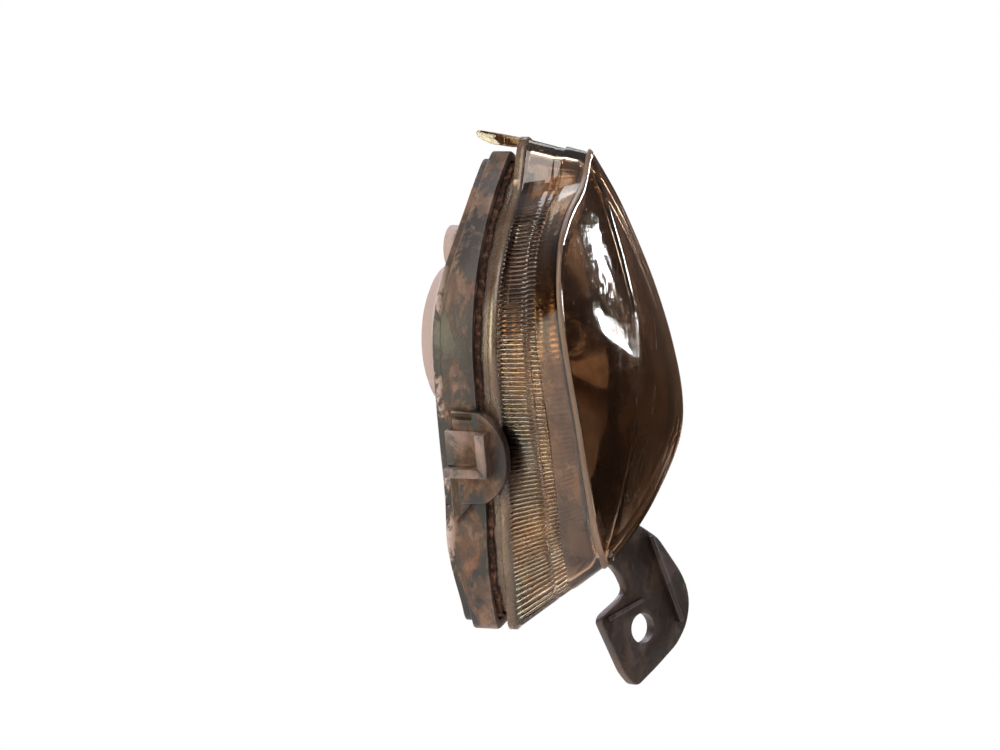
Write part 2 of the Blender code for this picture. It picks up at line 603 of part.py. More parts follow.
def make_clip(clip_axis):
    """Spring wire that holds the bulb's flange, hinged beside the neck."""
    cx, cz = CAP_CENTRE
    route = [(cx - 11, cz - 9.5), (cx - 11, cz + 9.5), (cx - 9.5, cz + 7.2), (cx + 8, cz + 7.2), (cx + 11, cz + 3.0),
             (cx + 11, cz - 3.0), (cx + 8, cz - 7.2), (cx - 8.6, cz - 7.2)]
    curve = bpy.data.curves.new("bulb_clip", "CURVE")
    curve.dimensions = "3D"
    curve.bevel_depth = 0.6 * MM
    curve.bevel_resolution = 2
    curve.use_fill_caps = True
    line = curve.splines.new("POLY")
    line.points.add(len(route) - 1)
    origin = Vector(clip_axis["place"])
    for point, (x, z) in zip(line.points, route):
        point.co = (*(place((x, -15.2, z)) - origin), 1.0)
    curve.materials.append(material("zinc_steel", *FINISHES["zinc_steel"]))
    clip = bpy.data.objects.new("bulb_clip", curve)
    bpy.context.scene.collection.objects.link(clip)
    clip.parent = clip_axis


def make_rear_cap(cap_axis, frame):
    """Bayonet cap with three lugs, its seal, and the grommet that a lead would pass through."""
    profile = [(3.2, -23.2), (16.6, -23.2), (16.9, -22.9), (16.9, -21.3), (14.7, -21.3), (14.7, -16.8)]
    profile += [(13.3, -16.8), (13.3, -21.6), (3.2, -21.6)]
    cap = part("rear_cap", turned(profile, CAP_CENTRE, 40), "housing_plastic", cap_axis)
    for i in range(3):
        start, end = LUG_SPACING * i + LUG_START, LUG_SPACING * i + LUG_END
        sector = arc((0, 0), 16.8, start, end, 3) + arc((0, 0), 14.0, end, start, 3)
        lug = prism(sector, -18.0, -16.8, facing(CAP_CENTRE))
        combine(cap, "UNION", f"cap_lug_{i + 1}", lug)
    for side in (-1, 1):
        grip = rectangle(side * 9.0 - 3.5, side * 9.0 + 3.5, -1.5, 1.5)
        bar = prism(grip, -24.0, -22.8, facing(CAP_CENTRE))
        combine(cap, "UNION", f"cap_grip_{side + 2}", bar)
    seal = [(15.2, -21.0), (16.9, -21.0), (16.9, -19.7), (15.2, -19.7)]
    part("cap_seal", turned(seal, CAP_CENTRE, 40), "black_rubber", cap_axis)
    grommet = [(0, -23.8), (3.6, -23.8), (4.4, -23.5), (2.9, -23.4)]
    grommet += [(2.9, -21.4), (4.4, -21.3), (3.0, -20.4), (0, -20.4)]
    part("cap_grommet", turned(grommet, CAP_CENTRE, 24), "black_rubber", cap_axis)


def make_vent(frame):
    """Breather cap pressed on a low spot of the housing's back."""
    profile = [(0, -17.6), (3.4, -17.6), (4.0, -17.0), (4.0, -15.3), (0, -15.3)]
    part("vent_cap", turned(profile, (20.0, -34.0), 24), "black_rubber", frame)


def main():
    """Clear the scene and build the lamp round its ear's seat."""
    for obj in list(bpy.data.objects):
        bpy.data.objects.remove(obj, do_unlink=True)
    seat = place(ear_point(*EAR_SEAT, -EAR_THICKNESS))
    frame = empty("lamp_frame", (0, 0, 0))
    frame.location = -seat
    reflector_axis = empty("reflector_axis", place((CAP_CENTRE[0], PIVOT_FORWARD, PIVOT_Z)), frame)
    screw_axis = empty("adjuster_axis", place((ADJUSTER[0], -12.0, ADJUSTER[1])), frame)
    nut_axis = empty("nut_slide", place((ADJUSTER[0], -6.0, ADJUSTER[1])), frame)
    cap_axis = empty("cap_axis", place((CAP_CENTRE[0], -21.0, CAP_CENTRE[1])), frame)
    clip_axis = empty("clip_axis", place((CAP_CENTRE[0] - 11, -15.2, CAP_CENTRE[1])), reflector_axis)
    make_housing(frame)
    make_lens(frame)
    make_sealant(frame)
    make_bezel(frame)
    make_vent(frame)
    make_pivots(frame, reflector_axis)
    make_reflector(reflector_axis)
    make_adjuster(screw_axis, nut_axis, reflector_axis, frame)
    make_bulb(reflector_axis)
    make_clip(clip_axis)
    make_rear_cap(cap_axis, frame)


main()
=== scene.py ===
"""Looks of the fog light: clear fluted lens, dusty housing, chromed inside, bulb and fixings."""
import math

import bmesh
import bpy
import numpy as np
from bpy.props import FloatProperty, FloatVectorProperty, IntProperty, PointerProperty
from mathutils import Matrix, Vector


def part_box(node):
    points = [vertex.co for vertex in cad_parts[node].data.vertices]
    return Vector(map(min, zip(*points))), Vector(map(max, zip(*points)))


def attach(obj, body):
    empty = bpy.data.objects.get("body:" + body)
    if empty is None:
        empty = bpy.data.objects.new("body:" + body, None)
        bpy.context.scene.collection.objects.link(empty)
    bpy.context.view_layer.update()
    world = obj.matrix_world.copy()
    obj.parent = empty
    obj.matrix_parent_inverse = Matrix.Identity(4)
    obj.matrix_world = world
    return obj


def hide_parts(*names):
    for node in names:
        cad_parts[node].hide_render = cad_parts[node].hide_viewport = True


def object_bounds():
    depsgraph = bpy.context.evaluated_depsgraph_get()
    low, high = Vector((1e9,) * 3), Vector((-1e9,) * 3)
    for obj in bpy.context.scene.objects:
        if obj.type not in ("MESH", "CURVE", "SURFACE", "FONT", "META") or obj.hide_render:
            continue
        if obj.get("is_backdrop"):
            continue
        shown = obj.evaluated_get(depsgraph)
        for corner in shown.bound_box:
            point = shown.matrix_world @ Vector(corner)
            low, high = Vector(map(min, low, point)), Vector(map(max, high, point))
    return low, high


bl_info = {
    "name": "Fog Light",
    "version": (1, 0, 0),
    "blender": (4, 5, 0),
    "location": "3D View > Sidebar > Fog Light",
    "description": "Builds the visible pieces of a fog light round its fixed frame",
    "category": "Object",
}

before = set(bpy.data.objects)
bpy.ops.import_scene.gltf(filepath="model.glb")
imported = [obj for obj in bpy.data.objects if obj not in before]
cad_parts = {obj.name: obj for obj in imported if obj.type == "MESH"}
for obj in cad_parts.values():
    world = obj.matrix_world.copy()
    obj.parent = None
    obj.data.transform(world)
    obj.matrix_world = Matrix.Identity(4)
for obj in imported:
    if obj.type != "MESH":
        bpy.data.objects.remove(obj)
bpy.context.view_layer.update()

MM = 0.001

# The lamp's own coordinates are (x, forward, z) in millimetres, forward being -Y from the housing's front edge.
CAP_CENTRE = (16.0, 14.0)
CAP_BACK = -24.0
cap_low, cap_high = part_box("rear_cap")
ORIGIN = Vector(((cap_low[0] + cap_high[0]) / 2 - CAP_CENTRE[0] * MM, cap_high[1] + CAP_BACK * MM,
                 (cap_low[2] + cap_high[2]) / 2 - CAP_CENTRE[1] * MM))

RIM_NEAR = [(0, 62), (-9.6, 51), (-16.4, 40), (-21.3, 27), (-22.4, 12), (-19.6, -1), (-14.6, -17), (-10.3, -30),
            (-8.3, -42), (-5.2, -52), (0, -62)]
RIM_FAR = [(0, 62), (13, 56), (29, 42), (42, 22), (49, 4), (50, -8), (46, -22), (36, -38), (22, -51), (10, -58),
           (0, -62)]
CREASE_NEAR = [(0, 62), (-5.5, 53), (-15.7, 45.6), (-23, 37), (-25.6, 26), (-24.6, 17), (-20.6, 4), (-15.6, -9),
               (-12.2, -20), (-8.6, -30), (-5.2, -37.5), (0, -44)]
CREASE_FAR = [(0, 62), (13.5, 51.5), (23, 42), (34, 29), (43, 14.5), (48, 0), (45, -12), (29, -27), (13, -37.5),
              (0, -44)]
NEAR_FLUTES = 106         # side-wall flutes down the near side
FAR_FLUTES = 124
POINTS_PER_FLUTE = 6
TIP_FACTOR = 1.3          # an inset moves the pointed ends this much more than the sides
LEVEL_BELOW = 4.0         # the near side's flutes run level down to this height, then climb forward
LEVEL_CURVE = 1.6
STEPS_PER_ROUNDING = 120  # outline steps for each round of evening out, which blunts the pointed tips
FLANGE_INSET = 2.6        # the flange is this far inside the rim, and stands out at the top tip by the next
TONGUE_REACH = 2.9
BAND_DEPTH = 8.8          # skirt band at mid height
BAND_WALL = 1.9
BACK_STEP = 3.4           # depth of the shoulder where the domed back leaves the band
DOME_DEPTH = 20.0
DOME_CURVE = 1.3          # power that the back domes with
CHANNEL_INNER = 7.5       # inset of the glue channel's inner wall
CHANNEL_DEPTH = 7.0
INNER_WALL = 9.5          # inset of the housing's inner face
LEG_OUTER = 3.3           # the lens leg in the channel, as insets
LEG_INNER = 5.8
FLANGE_START = 3.0        # forward position of the lens flange
FLANGE_END = 5.2
LENS_WALL = 2.4
CREASE_TOP = 21.9         # forward position of the crease at the top and bottom corners
CREASE_BOTTOM = 29.6
FACE_TURN = 0.10          # the face comes forward by this much of the distance to the far side
FACE_BULGE = 6.0
FACE_CENTRE = (14, 8)
NECK_RADIUS = 18.5        # rear opening
NECK_BACK = 22.2
BORE_RADIUS = 17.3
REFLECTOR_EDGE = 12.0
REFLECTOR_NECK = -11.0
REFLECTOR_WALL = 1.8
REFLECTOR_HOLE = 6.8
REFLECTOR_CURVE = 1.3     # power that the bowl opens with
REFLECTOR_LEVEL = 0.35    # share of the way from flange to crease that the bowl's edge is taken at
REFLECTOR_INSET = 10.5
PIVOT_Z = -18.5
PIVOT_FORWARD = -6.6
PIVOT_X = (5.5, 23.5)
ADJUSTER = (3.5, 36.5)
EAR_HOLE = (66.0, 15.4, -63.0)
EAR_HOLE_RADIUS = 4.1
EAR_THICKNESS = 3.0
EAR_TURN = 28.0           # degrees that the ear's plate is turned away from facing forward
TAB_CENTRE = (-15.6, -17.0)
TAB_LEAN = 17.7           # degrees that the locating tab leans, following the rim
TAB_REACH = 7.9           # forward reach of the tab's round nose, its half length and its roundness
TAB_HALF = 12.9
TAB_NOSE_POWER = 2.6
LUG_SPACING = 120         # degrees between the cap's lugs, and the angles that each one spans
LUG_START = 50
LUG_END = 70
NOTCH_HALF = 13           # half the opening that a lug passes through, in degrees
VIEW_RISE = 3.85          # the camera aims this far above the lamp's middle, and this far to its left
VIEW_SHIFT = 1.15


# ---- Outlines -------------------------------------------------------------------------------------------------

def smoothstep(low, high, value):
    """Ease from 0 at low to 1 at high."""
    t = np.clip((value - low) / (high - low), 0.0, 1.0)
    return t * t * (3 - 2 * t)


def spline(points, steps):
    """Evenly spaced points on a smooth open curve through the given points."""
    p = np.array([points[0]] + list(points) + [points[-1]], dtype=float)
    t = np.linspace(0, 1, 60, endpoint=False)[:, None]
    stretches = []
    for a, b, c, d in zip(p, p[1:], p[2:], p[3:]):
        stretches.append(0.5 * (2 * b + (c - a) * t + (2 * a - 5 * b + 4 * c - d) * t ** 2
                                + (3 * b - a - 3 * c + d) * t ** 3))
    dense = np.vstack(stretches + [p[-1:]])
    length = np.concatenate([[0], np.cumsum(np.linalg.norm(np.diff(dense, axis=0), axis=1))])
    target = np.linspace(0, length[-1], steps + 1)
    return np.stack([np.interp(target, length, dense[:, i]) for i in range(2)], axis=1)


def round_off(points, reach):
    """Even out a closed outline over a few points each way, which rounds its pointed tips."""
    result = points.copy()
    for _ in range(reach):
        result = (np.roll(result, 1, axis=0) + 2 * result + np.roll(result, -1, axis=0)) / 4
    return result


def outline(near, far, near_steps, far_steps, reach, heights=None):
    """Closed outline: down the near side, by even steps or at given heights, then up the far side."""
    down = spline(near, near_steps)
    if heights is not None:
        fine = spline(near, near_steps * 4)[::-1]
        down = np.stack([np.interp(heights, fine[:, 1], fine[:, 0]), heights], axis=1)
    up = spline(far[::-1], far_steps)
    return round_off(np.vstack([down[:-1], up[:-1]]), reach)


def shrink(points, inset):
    """Scale an outline about its middle so that its sides move in by the inset."""
    low, high = points.min(axis=0), points.max(axis=0)
    factor = 1 - 2 * inset * np.array([1.0, TIP_FACTOR]) / (high - low)
    return (low + high) / 2 + (points - (low + high) / 2) * factor


def toward_circle(points, centre, radius):
    """Points of a circle, one in the direction of each outline point."""
    away = points - np.array(centre)
    return np.array(centre) + radius * away / np.linalg.norm(away, axis=1, keepdims=True)


def crease_forward(points):
    """Forward position of the face's plane, which carries the crease."""
    top, bottom = CREASE_NEAR[0][1], CREASE_NEAR[-1][1]
    slope = (top - points[:, 1]) / (top - bottom) * (CREASE_BOTTOM - CREASE_TOP)
    return CREASE_TOP + slope + FACE_TURN * np.maximum(points[:, 0], 0)


def ring(points, forward):
    """Ring of 3D points at a forward position, which may differ from point to point."""
    depth = np.broadcast_to(np.asarray(forward, dtype=float), (len(points),))
    return np.stack([points[:, 0], depth, points[:, 1]], axis=1)


class Outlines:
    """The rim, flange and crease outlines at one fineness, and the surfaces that run between them."""

    def __init__(self, near_steps, far_steps):
        """Sample the outlines."""
        reach = max(1, round((near_steps + far_steps) / STEPS_PER_ROUNDING) ** 2)
        self.rim = outline(RIM_NEAR, RIM_FAR, near_steps, far_steps, reach)
        level = spline(RIM_NEAR, near_steps)[:, 1]
        top, bottom, foot = RIM_NEAR[0][1], RIM_NEAR[-1][1], CREASE_NEAR[-1][1]
        drop = np.clip((LEVEL_BELOW - level) / (LEVEL_BELOW - bottom), 0, 1) ** LEVEL_CURVE
        heights = np.clip(level + (foot - bottom) * drop, foot, top)
        self.crease = outline(CREASE_NEAR, CREASE_FAR, near_steps, far_steps, reach, heights)
        inner = shrink(self.rim, FLANGE_INSET)
        outer = np.where(inner[:, 1:] > 0, shrink(self.rim, -TONGUE_REACH), self.rim)
        self.base = inner + (outer - inner) * smoothstep(50, 58, np.abs(inner[:, 1:]))

    def wall(self, k, inset):
        """Ring of the lens side wall, from the flange at k = 0 to the crease at k = 1."""
        points = shrink(self.base + (self.crease - self.base) * k, inset)
        return ring(points, FLANGE_END + (crease_forward(self.crease) - FLANGE_END) * k)

    def face(self, s, inset):
        """Ring of the lens front face, from the crease at s = 1 inwards."""
        centre = np.array(FACE_CENTRE)
        points = centre + (shrink(self.crease, inset) - centre) * s
        return ring(points, crease_forward(points) + FACE_BULGE * (1 - s * s) - inset * 0.9)

    def at(self, inset, forward):
        """Ring of the rim outline, moved in."""
        return ring(shrink(self.rim, inset), forward)

    def band(self):
        """Depth of the skirt band at each point."""
        z = self.rim[:, 1]
        return BAND_DEPTH - 3.8 * smoothstep(15, 52, z) - 2.2 * smoothstep(40, 60, -z)

    def channel_floor(self):
        """Forward position of the glue channel's floor at each point."""
        return -np.minimum(CHANNEL_DEPTH, self.band() - 1.6)


# ---- Meshes ---------------------------------------------------------------------------------------------------

def place(points):
    """Lamp coordinates (x, forward, z) in millimetres to metres in the frame."""
    p = np.atleast_2d(np.asarray(points, dtype=float))
    return np.stack([p[:, 0], -p[:, 1], p[:, 2]], axis=1) * MM + np.array(ORIGIN)


def new_object(name, vertices, faces):
    """Mesh object from vertices in metres, smooth, with its faces pointing out."""
    mesh = bpy.data.meshes.new(name)
    mesh.from_pydata([tuple(v) for v in vertices], [], faces)
    bm = bmesh.new()
    bm.from_mesh(mesh)
    bmesh.ops.recalc_face_normals(bm, faces=bm.faces)
    bm.to_mesh(mesh)
    bm.free()
    mesh.shade_smooth()
    obj = bpy.data.objects.new(name, mesh)
    bpy.context.scene.collection.objects.link(obj)
    return obj


def loft(name, rings, closed=True, poles=(None, None)):
    """Bridge rings of equal length; closed joins the last ring to the first, poles close open ends."""
    count = len(rings[0])
    vertices = [p for points in rings for p in place(points)]
    faces = []
    pairs = [(i, i + 1) for i in range(len(rings) - 1)]
    if closed:
        pairs.append((len(rings) - 1, 0))
    for a, b in pairs:
        for i in range(count):
            j = (i + 1) % count
            faces.append((a * count + i, a * count + j, b * count + j, b * count + i))
    for row, pole in ((0, poles[0]), (len(rings) - 1, poles[1])):
        if pole is not None:
            vertices.append(place(pole)[0])
            tip = len(vertices) - 1
            faces += [(row * count + i, row * count + (i + 1) % count, tip) for i in range(count)]
    return new_object(name, vertices, faces)


def turned(name, profile, centre, segments=96):
    """Solid of revolution about the forward axis; the profile is (radius, forward) points."""
    solid = all(r > 0 for r, _ in profile)
    body = profile if solid else profile[1:-1]
    turns = np.linspace(0, 2 * np.pi, segments, endpoint=False)
    x, z = np.cos(turns), np.sin(turns)
    rings = [np.stack([centre[0] + r * x, np.full(segments, f), centre[1] + r * z], axis=1) for r, f in body]
    if solid:
        return loft(name, rings)
    ends = [(centre[0], profile[0][1], centre[1]), (centre[0], profile[-1][1], centre[1])]
    return loft(name, rings, closed=False, poles=ends)


def rounded(profile, radius, steps=3):
    """Open or closed profile with its corners replaced by small arcs."""
    result = []
    for i, corner in enumerate(profile):
        p = np.array(corner, dtype=float)
        if i in (0, len(profile) - 1) and corner[0] == 0:
            result.append(tuple(p))
            continue
        before = np.array(profile[i - 1], dtype=float) - p
        after = np.array(profile[(i + 1) % len(profile)], dtype=float) - p
        reach = min(radius, np.linalg.norm(before) * 0.45, np.linalg.norm(after) * 0.45)
        a = p + before / np.linalg.norm(before) * reach
        b = p + after / np.linalg.norm(after) * reach
        for j in range(steps + 1):
            t = j / steps
            result.append(tuple((1 - t) ** 2 * a + 2 * t * (1 - t) * p + t * t * b))
    return result


def prism(name, points, near, far, mapping, bevel=0.0):
    """Flat outline (u, v) drawn out between two offsets by a mapping, with its edges rounded."""
    count = len(points)
    vertices = [place(mapping(u, v, offset))[0] for offset in (near, far) for u, v in points]
    faces = [tuple(range(count)), tuple(range(2 * count - 1, count - 1, -1))]
    for i in range(count):
        j = (i + 1) % count
        faces.append((i, i + count, j + count, j))
    obj = new_object(name, vertices, faces)
    if bevel:
        modifier = obj.modifiers.new("edges", "BEVEL")
        modifier.width = bevel * MM
        modifier.segments = 3
        modifier.limit_method = "ANGLE"
        modifier.angle_limit = math.radians(30)
        settle(obj)
    return obj


def settle(obj):
    """Turn an object's modifiers into plain mesh."""
    graph = bpy.context.evaluated_depsgraph_get()
    graph.update()
    result = obj.evaluated_get(graph)
    mesh = bpy.data.meshes.new_from_object(result, preserve_all_data_layers=True, depsgraph=graph)
    obj.modifiers.clear()
    old = obj.data
    obj.data = mesh
    bpy.data.meshes.remove(old)
    obj.data.name = obj.name


def combine(target, operation, tools):
    """Join solids to the target, or cut them away, all at once, and drop the tools."""
    group = bpy.data.collections.new("tools")
    for tool in tools:
        group.objects.link(tool)
    modifier = target.modifiers.new(operation.title(), "BOOLEAN")
    modifier.operation = operation
    modifier.solver = "EXACT"
    modifier.operand_type = "COLLECTION"
    modifier.collection = group
    settle(target)
    for tool in tools:
        bpy.data.objects.remove(tool, do_unlink=True)
    bpy.data.collections.remove(group)


def smooth(obj, angle=30):
    """Smooth shading with sharp edges kept."""
    obj.data.shade_smooth()
    obj.data.set_sharp_from_angle(angle=math.radians(angle))
    return obj


def dress(obj, finish, body, nodes):
    """Give a piece its finish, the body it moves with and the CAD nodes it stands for."""
    obj.data.materials.clear()
    obj.data.materials.append(finish_of(finish))
    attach(obj, body)
    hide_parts(*nodes)


def refinish(nodes, finish):
    """Give CAD nodes that keep their shape a detailed finish."""
    for name in nodes:
        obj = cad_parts[name]
        obj.data.materials.clear()
        obj.data.materials.append(finish_of(finish))


def soften(rings, radius):
    """Replace each ring of a closed loft by three that round its corner."""
    result = []
    for i, p in enumerate(rings):
        sides = []
        for q in (rings[i - 1], rings[(i + 1) % len(rings)]):
            away = q - p
            length = np.linalg.norm(away, axis=1, keepdims=True) + 1e-9
            sides.append(p + away / length * np.minimum(radius, 0.4 * length))
        result += [sides[0], (sides[0] + sides[1]) / 4 + p / 2, sides[1]]
    return result


def mark(obj, name, values):
    """Store a value for each vertex."""
    layer = obj.data.attributes.new(name, "FLOAT", "POINT")
    layer.data.foreach_set("value", np.asarray(values, dtype=np.float32))


def ear_point(along, z, out):
    """Point of the ear: along its plate from the hole, height, and out of its front face."""
    turn = math.radians(EAR_TURN)
    return (EAR_HOLE[0] + along * math.cos(turn) - out * math.sin(turn),
            EAR_HOLE[1] + along * math.sin(turn) + out * math.cos(turn), z)


def tab_point(down, forward, out):
    """Point of the locating tab: down along the rim, forward, and outward from the rim."""
    lean = math.radians(TAB_LEAN)
    return (TAB_CENTRE[0] + down * math.sin(lean) - out * math.cos(lean), forward,
            TAB_CENTRE[1] - down * math.cos(lean) - out * math.sin(lean))


def across(u, v, forward):
    """Outline in the plane across the lamp, drawn out forward."""
    return (u, forward, v)


def about_cap(u, v, forward):
    """Outline about the rear cap's axis, drawn out forward."""
    return (CAP_CENTRE[0] + u, forward, CAP_CENTRE[1] + v)


def rectangle(u0, u1, v0, v1):
    """Corners of a rectangle."""
    return [(u0, v0), (u1, v0), (u1, v1), (u0, v1)]


def arc(centre, radius, start, end, steps):
    """Points of an arc, with angles in degrees."""
    angles = [math.radians(start + (end - start) * i / steps) for i in range(steps + 1)]
    return [(centre[0] + radius * math.cos(a), centre[1] + radius * math.sin(a)) for a in angles]


# ---- Finishes -------------------------------------------------------------------------------------------------

def linear(value):
    """Linear colour from an sRGB hex value."""
    channels = [int(value[i:i + 2], 16) / 255 for i in (0, 2, 4)]
    return tuple(c / 12.92 if c <= 0.04045 else ((c + 0.055) / 1.055) ** 2.4 for c in channels) + (1.0,)


def fill(node, settings):
    """Give a node's attributes and inputs, by name or index, their values or links."""
    for key, value in settings.items():
        if key == "stops":
            elements = node.color_ramp.elements
            while len(elements) < len(value):
                elements.new(0.5)
            for element, (position, colour) in zip(elements, value):
                element.position = position
                element.color = colour
        elif isinstance(value, bpy.types.NodeSocket):
            node.id_data.links.new(value, node.inputs[key])
        elif isinstance(key, str) and hasattr(node, key):
            setattr(node, key, value)
        else:
            node.inputs[key].default_value = value


def add(tree, kind, settings=None, out=0):
    """Add a node with its settings and links, and return one of its outputs."""
    node = tree.nodes.new(kind)
    fill(node, settings or {})
    return node.outputs[out]


def blank(name):
    """New material with its node tree and Principled shader."""
    material = bpy.data.materials.new(name)
    material.use_nodes = True
    return material, material.node_tree, material.node_tree.nodes["Principled BSDF"]


def mottle(tree, size, low, high, detail=5.0, rough=0.6, twist=0.0, stretch=(1, 1, 1)):
    """Soft-edged blotches about so many millimetres across, from 0 in the cloud's lows to 1 in its highs."""
    where = add(tree, "ShaderNodeTexCoord", out="Object")
    where = add(tree, "ShaderNodeMapping", {"Vector": where, "Scale": tuple(1 / s for s in stretch)})
    cloud = add(tree, "ShaderNodeTexNoise", {"Vector": where, "Scale": 1 / (size * MM), "Detail": detail,
                                             "Roughness": rough, "Distortion": twist})
    return add(tree, "ShaderNodeMapRange", {"Value": cloud, "From Min": low, "From Max": high,
                                            "interpolation_type": "SMOOTHSTEP"})


# Settings and sockets of a Mix node for colours: share, colour at 0, colour at 1, and its output.
COLOUR_MIX = {"data_type": "RGBA"}
SHARE, FIRST, SECOND, MIXED = 0, 6, 7, 2


def dusty_polypropylene():
    """Moulded black polypropylene under road dust: a thick pale film behind, rubbed dark on band and ear, and
    pale sharp edges that are dust and a painted highlight.
    """
    material, tree, shader = blank("dusty_polypropylene")
    hues = colours()
    where = add(tree, "ShaderNodeTexCoord", out="Object")
    depth = add(tree, "ShaderNodeSeparateXYZ", {"Vector": where}, out="Y")
    ahead = add(tree, "ShaderNodeMapRange", {"Value": depth, "From Min": ORIGIN.y - 3 * MM,
                                             "From Max": ORIGIN.y - 9 * MM, "To Min": 1.0, "To Max": 0.36})
    grit = mottle(tree, 0.8, 0.35, 0.75, rough=0.7)
    film = mottle(tree, 9.0, 0.455, 0.55, detail=9.0, rough=0.72, twist=0.3, stretch=(1, 1, 1.8))
    ragged = add(tree, "ShaderNodeMath", {"operation": "MULTIPLY_ADD", 0: film, 1: 4 * MM, 2: depth})
    behind = add(tree, "ShaderNodeMapRange", {"Value": ragged, "From Min": ORIGIN.y + 12.4 * MM,
                                              "From Max": ORIGIN.y + 15 * MM, "To Max": 0.9})
    thick = mottle(tree, 4.0, 0.42, 0.72, detail=7.0, twist=0.8, stretch=(1, 1, 1.8))
    rust = mottle(tree, 6.0, 0.56, 0.70, detail=7.0)
    # Painted highlight: sharp edges (high pointiness) get the pale caked dust colour, which stands in for light
    # catching them as well as for dust.
    edge = add(tree, "ShaderNodeNewGeometry", out="Pointiness")
    edge = add(tree, "ShaderNodeMapRange", {"Value": edge, "From Min": 0.52, "From Max": 0.59, "To Max": 0.7})
    dust_coat_and_edge_highlight = add(tree, "ShaderNodeMath", {"operation": "MAXIMUM", 0: film, 1: behind})
    dust_coat_and_edge_highlight = add(tree, "ShaderNodeMath", {"operation": "MAXIMUM", 0: dust_coat_and_edge_highlight, 1: edge})
    dust_coat_and_edge_highlight = add(tree, "ShaderNodeMath", {"operation": "MULTIPLY", 0: dust_coat_and_edge_highlight, 1: ahead})
    # Caked colour share: dust on the back, and a painted highlight on sharp edges.
    back_dust_and_edge_highlight = add(tree, "ShaderNodeMath", {"operation": "MAXIMUM", 0: edge, 1: behind})
    dust = add(tree, "ShaderNodeMix", {
        **COLOUR_MIX, SHARE: thick, FIRST: hue(hues.dust), SECOND: hue(hues.pale_dust)}, out=MIXED)
    dust = add(tree, "ShaderNodeMix", {
        **COLOUR_MIX, SHARE: rust, FIRST: dust, SECOND: hue(hues.stain)}, out=MIXED)
    speck = add(tree, "ShaderNodeMath", {"operation": "MULTIPLY", 0: grit, 1: 0.3})
    dust = add(tree, "ShaderNodeMix", {
        **COLOUR_MIX, SHARE: speck, FIRST: dust, SECOND: hue(hues.pale_dust)}, out=MIXED)
    dust = add(tree, "ShaderNodeMix", {
        **COLOUR_MIX, SHARE: back_dust_and_edge_highlight, FIRST: dust, SECOND: hue(hues.caked_dust_and_edge_highlight)}, out=MIXED)
    bare = add(tree, "ShaderNodeMix", {
        **COLOUR_MIX, SHARE: ahead, FIRST: hue(hues.brown_plastic), SECOND: hue(hues.plastic)}, out=MIXED)
    height = add(tree, "ShaderNodeMath", {"operation": "MULTIPLY_ADD", 0: grit, 1: 0.4, 2: dust_coat_and_edge_highlight})
    fill(shader, {
        "Base Color": add(tree, "ShaderNodeMix", {
            **COLOUR_MIX, SHARE: dust_coat_and_edge_highlight, FIRST: bare, SECOND: dust}, out=MIXED),
        "Roughness": add(tree, "ShaderNodeMapRange", {"Value": dust_coat_and_edge_highlight, "To Min": 0.36, "To Max": 0.86}),
        "IOR": 1.49,
        "Normal": add(tree, "ShaderNodeBump", {"Height": height, "Strength": 0.6, "Distance": 0.12 * MM})})
    return material


def aged_polycarbonate():
    """Clear moulded polycarbonate yellowed by sun: smoky and glossy, scratched, with its crease scuffed dull; on
    the crease's near side the scuff colour is also a painted highlight.
    """
    material, tree, shader = blank("aged_polycarbonate")
    hues = colours()
    haze = mottle(tree, 16.0, 0.38, 0.66, rough=0.6, twist=0.4)
    bloom = mottle(tree, 2.0, 0.52, 0.74, detail=7.0, rough=0.75, twist=2.2, stretch=(1, 1, 5))
    lines = mottle(tree, 30.0, 0.0, 1.0, detail=0.0, twist=0.6, stretch=(1, 1, 3))
    lines = add(tree, "ShaderNodeMath", {"operation": "PINGPONG", 0: lines, 1: 0.25})
    lines = add(tree, "ShaderNodeMapRange", {"Value": lines, "From Min": 0.0, "From Max": 0.004, "To Min": 1.0,
                                             "To Max": 0.0})
    sparse = mottle(tree, 12.0, 0.52, 0.58, detail=2.0)
    lines = add(tree, "ShaderNodeMath", {"operation": "MULTIPLY", 0: lines, 1: sparse})
    # Wear share: plain wear on the flange; on the crease's near side, scuffing plus a painted highlight.
    worn = add(tree, "ShaderNodeAttribute", {"attribute_name": "worn"}, out="Fac")
    dull = add(tree, "ShaderNodeMath", {"operation": "MULTIPLY_ADD", 0: bloom, 1: 0.16, 2: 0.035})
    dull = add(tree, "ShaderNodeMath", {"operation": "MULTIPLY_ADD", 0: lines, 1: 0.35, 2: dull})
    dull = add(tree, "ShaderNodeMath", {"operation": "MULTIPLY_ADD", 0: worn, 1: 0.45, 2: dull})
    clear = add(tree, "ShaderNodeMix", {
        **COLOUR_MIX, SHARE: haze, FIRST: hue(hues.lens), SECOND: hue(hues.lens_deep)}, out=MIXED)
    height = add(tree, "ShaderNodeMath", {"operation": "ADD", 0: bloom, 1: lines})
    clarity = add(tree, "ShaderNodeMapRange", {"Value": worn, "To Min": 1.0, "To Max": 0.5})
    fill(shader, {
        "Base Color": add(tree, "ShaderNodeMix", {
            **COLOUR_MIX, SHARE: worn, FIRST: clear, SECOND: hue(hues.scuff_and_highlight)}, out=MIXED),
        "Roughness": dull,
        "IOR": 1.58,
        "Transmission Weight": clarity,
        "Normal": add(tree, "ShaderNodeBump", {"Height": height, "Strength": 0.12, "Distance": 0.03 * MM})})
    return material


def old_butyl():
    """Butyl sealant gone hard: crumbly rust-brown with no shine."""
    material, tree, shader = blank("old_butyl")
    lumps = mottle(tree, 1.6, 0.3, 0.72, detail=6.0, rough=0.7)
    colour = add(tree, "ShaderNodeValToRGB", {"Fac": lumps, "stops": [
        (0.0, linear("160d09")), (0.5, linear("3f261a")), (1.0, linear("86604a"))]})
    bump = add(tree, "ShaderNodeBump", {"Height": lumps, "Strength": 0.9, "Distance": 0.35 * MM})
    fill(shader, {"Base Color": colour, "Roughness": 0.9, "IOR": 1.5, "Normal": bump})
    return material


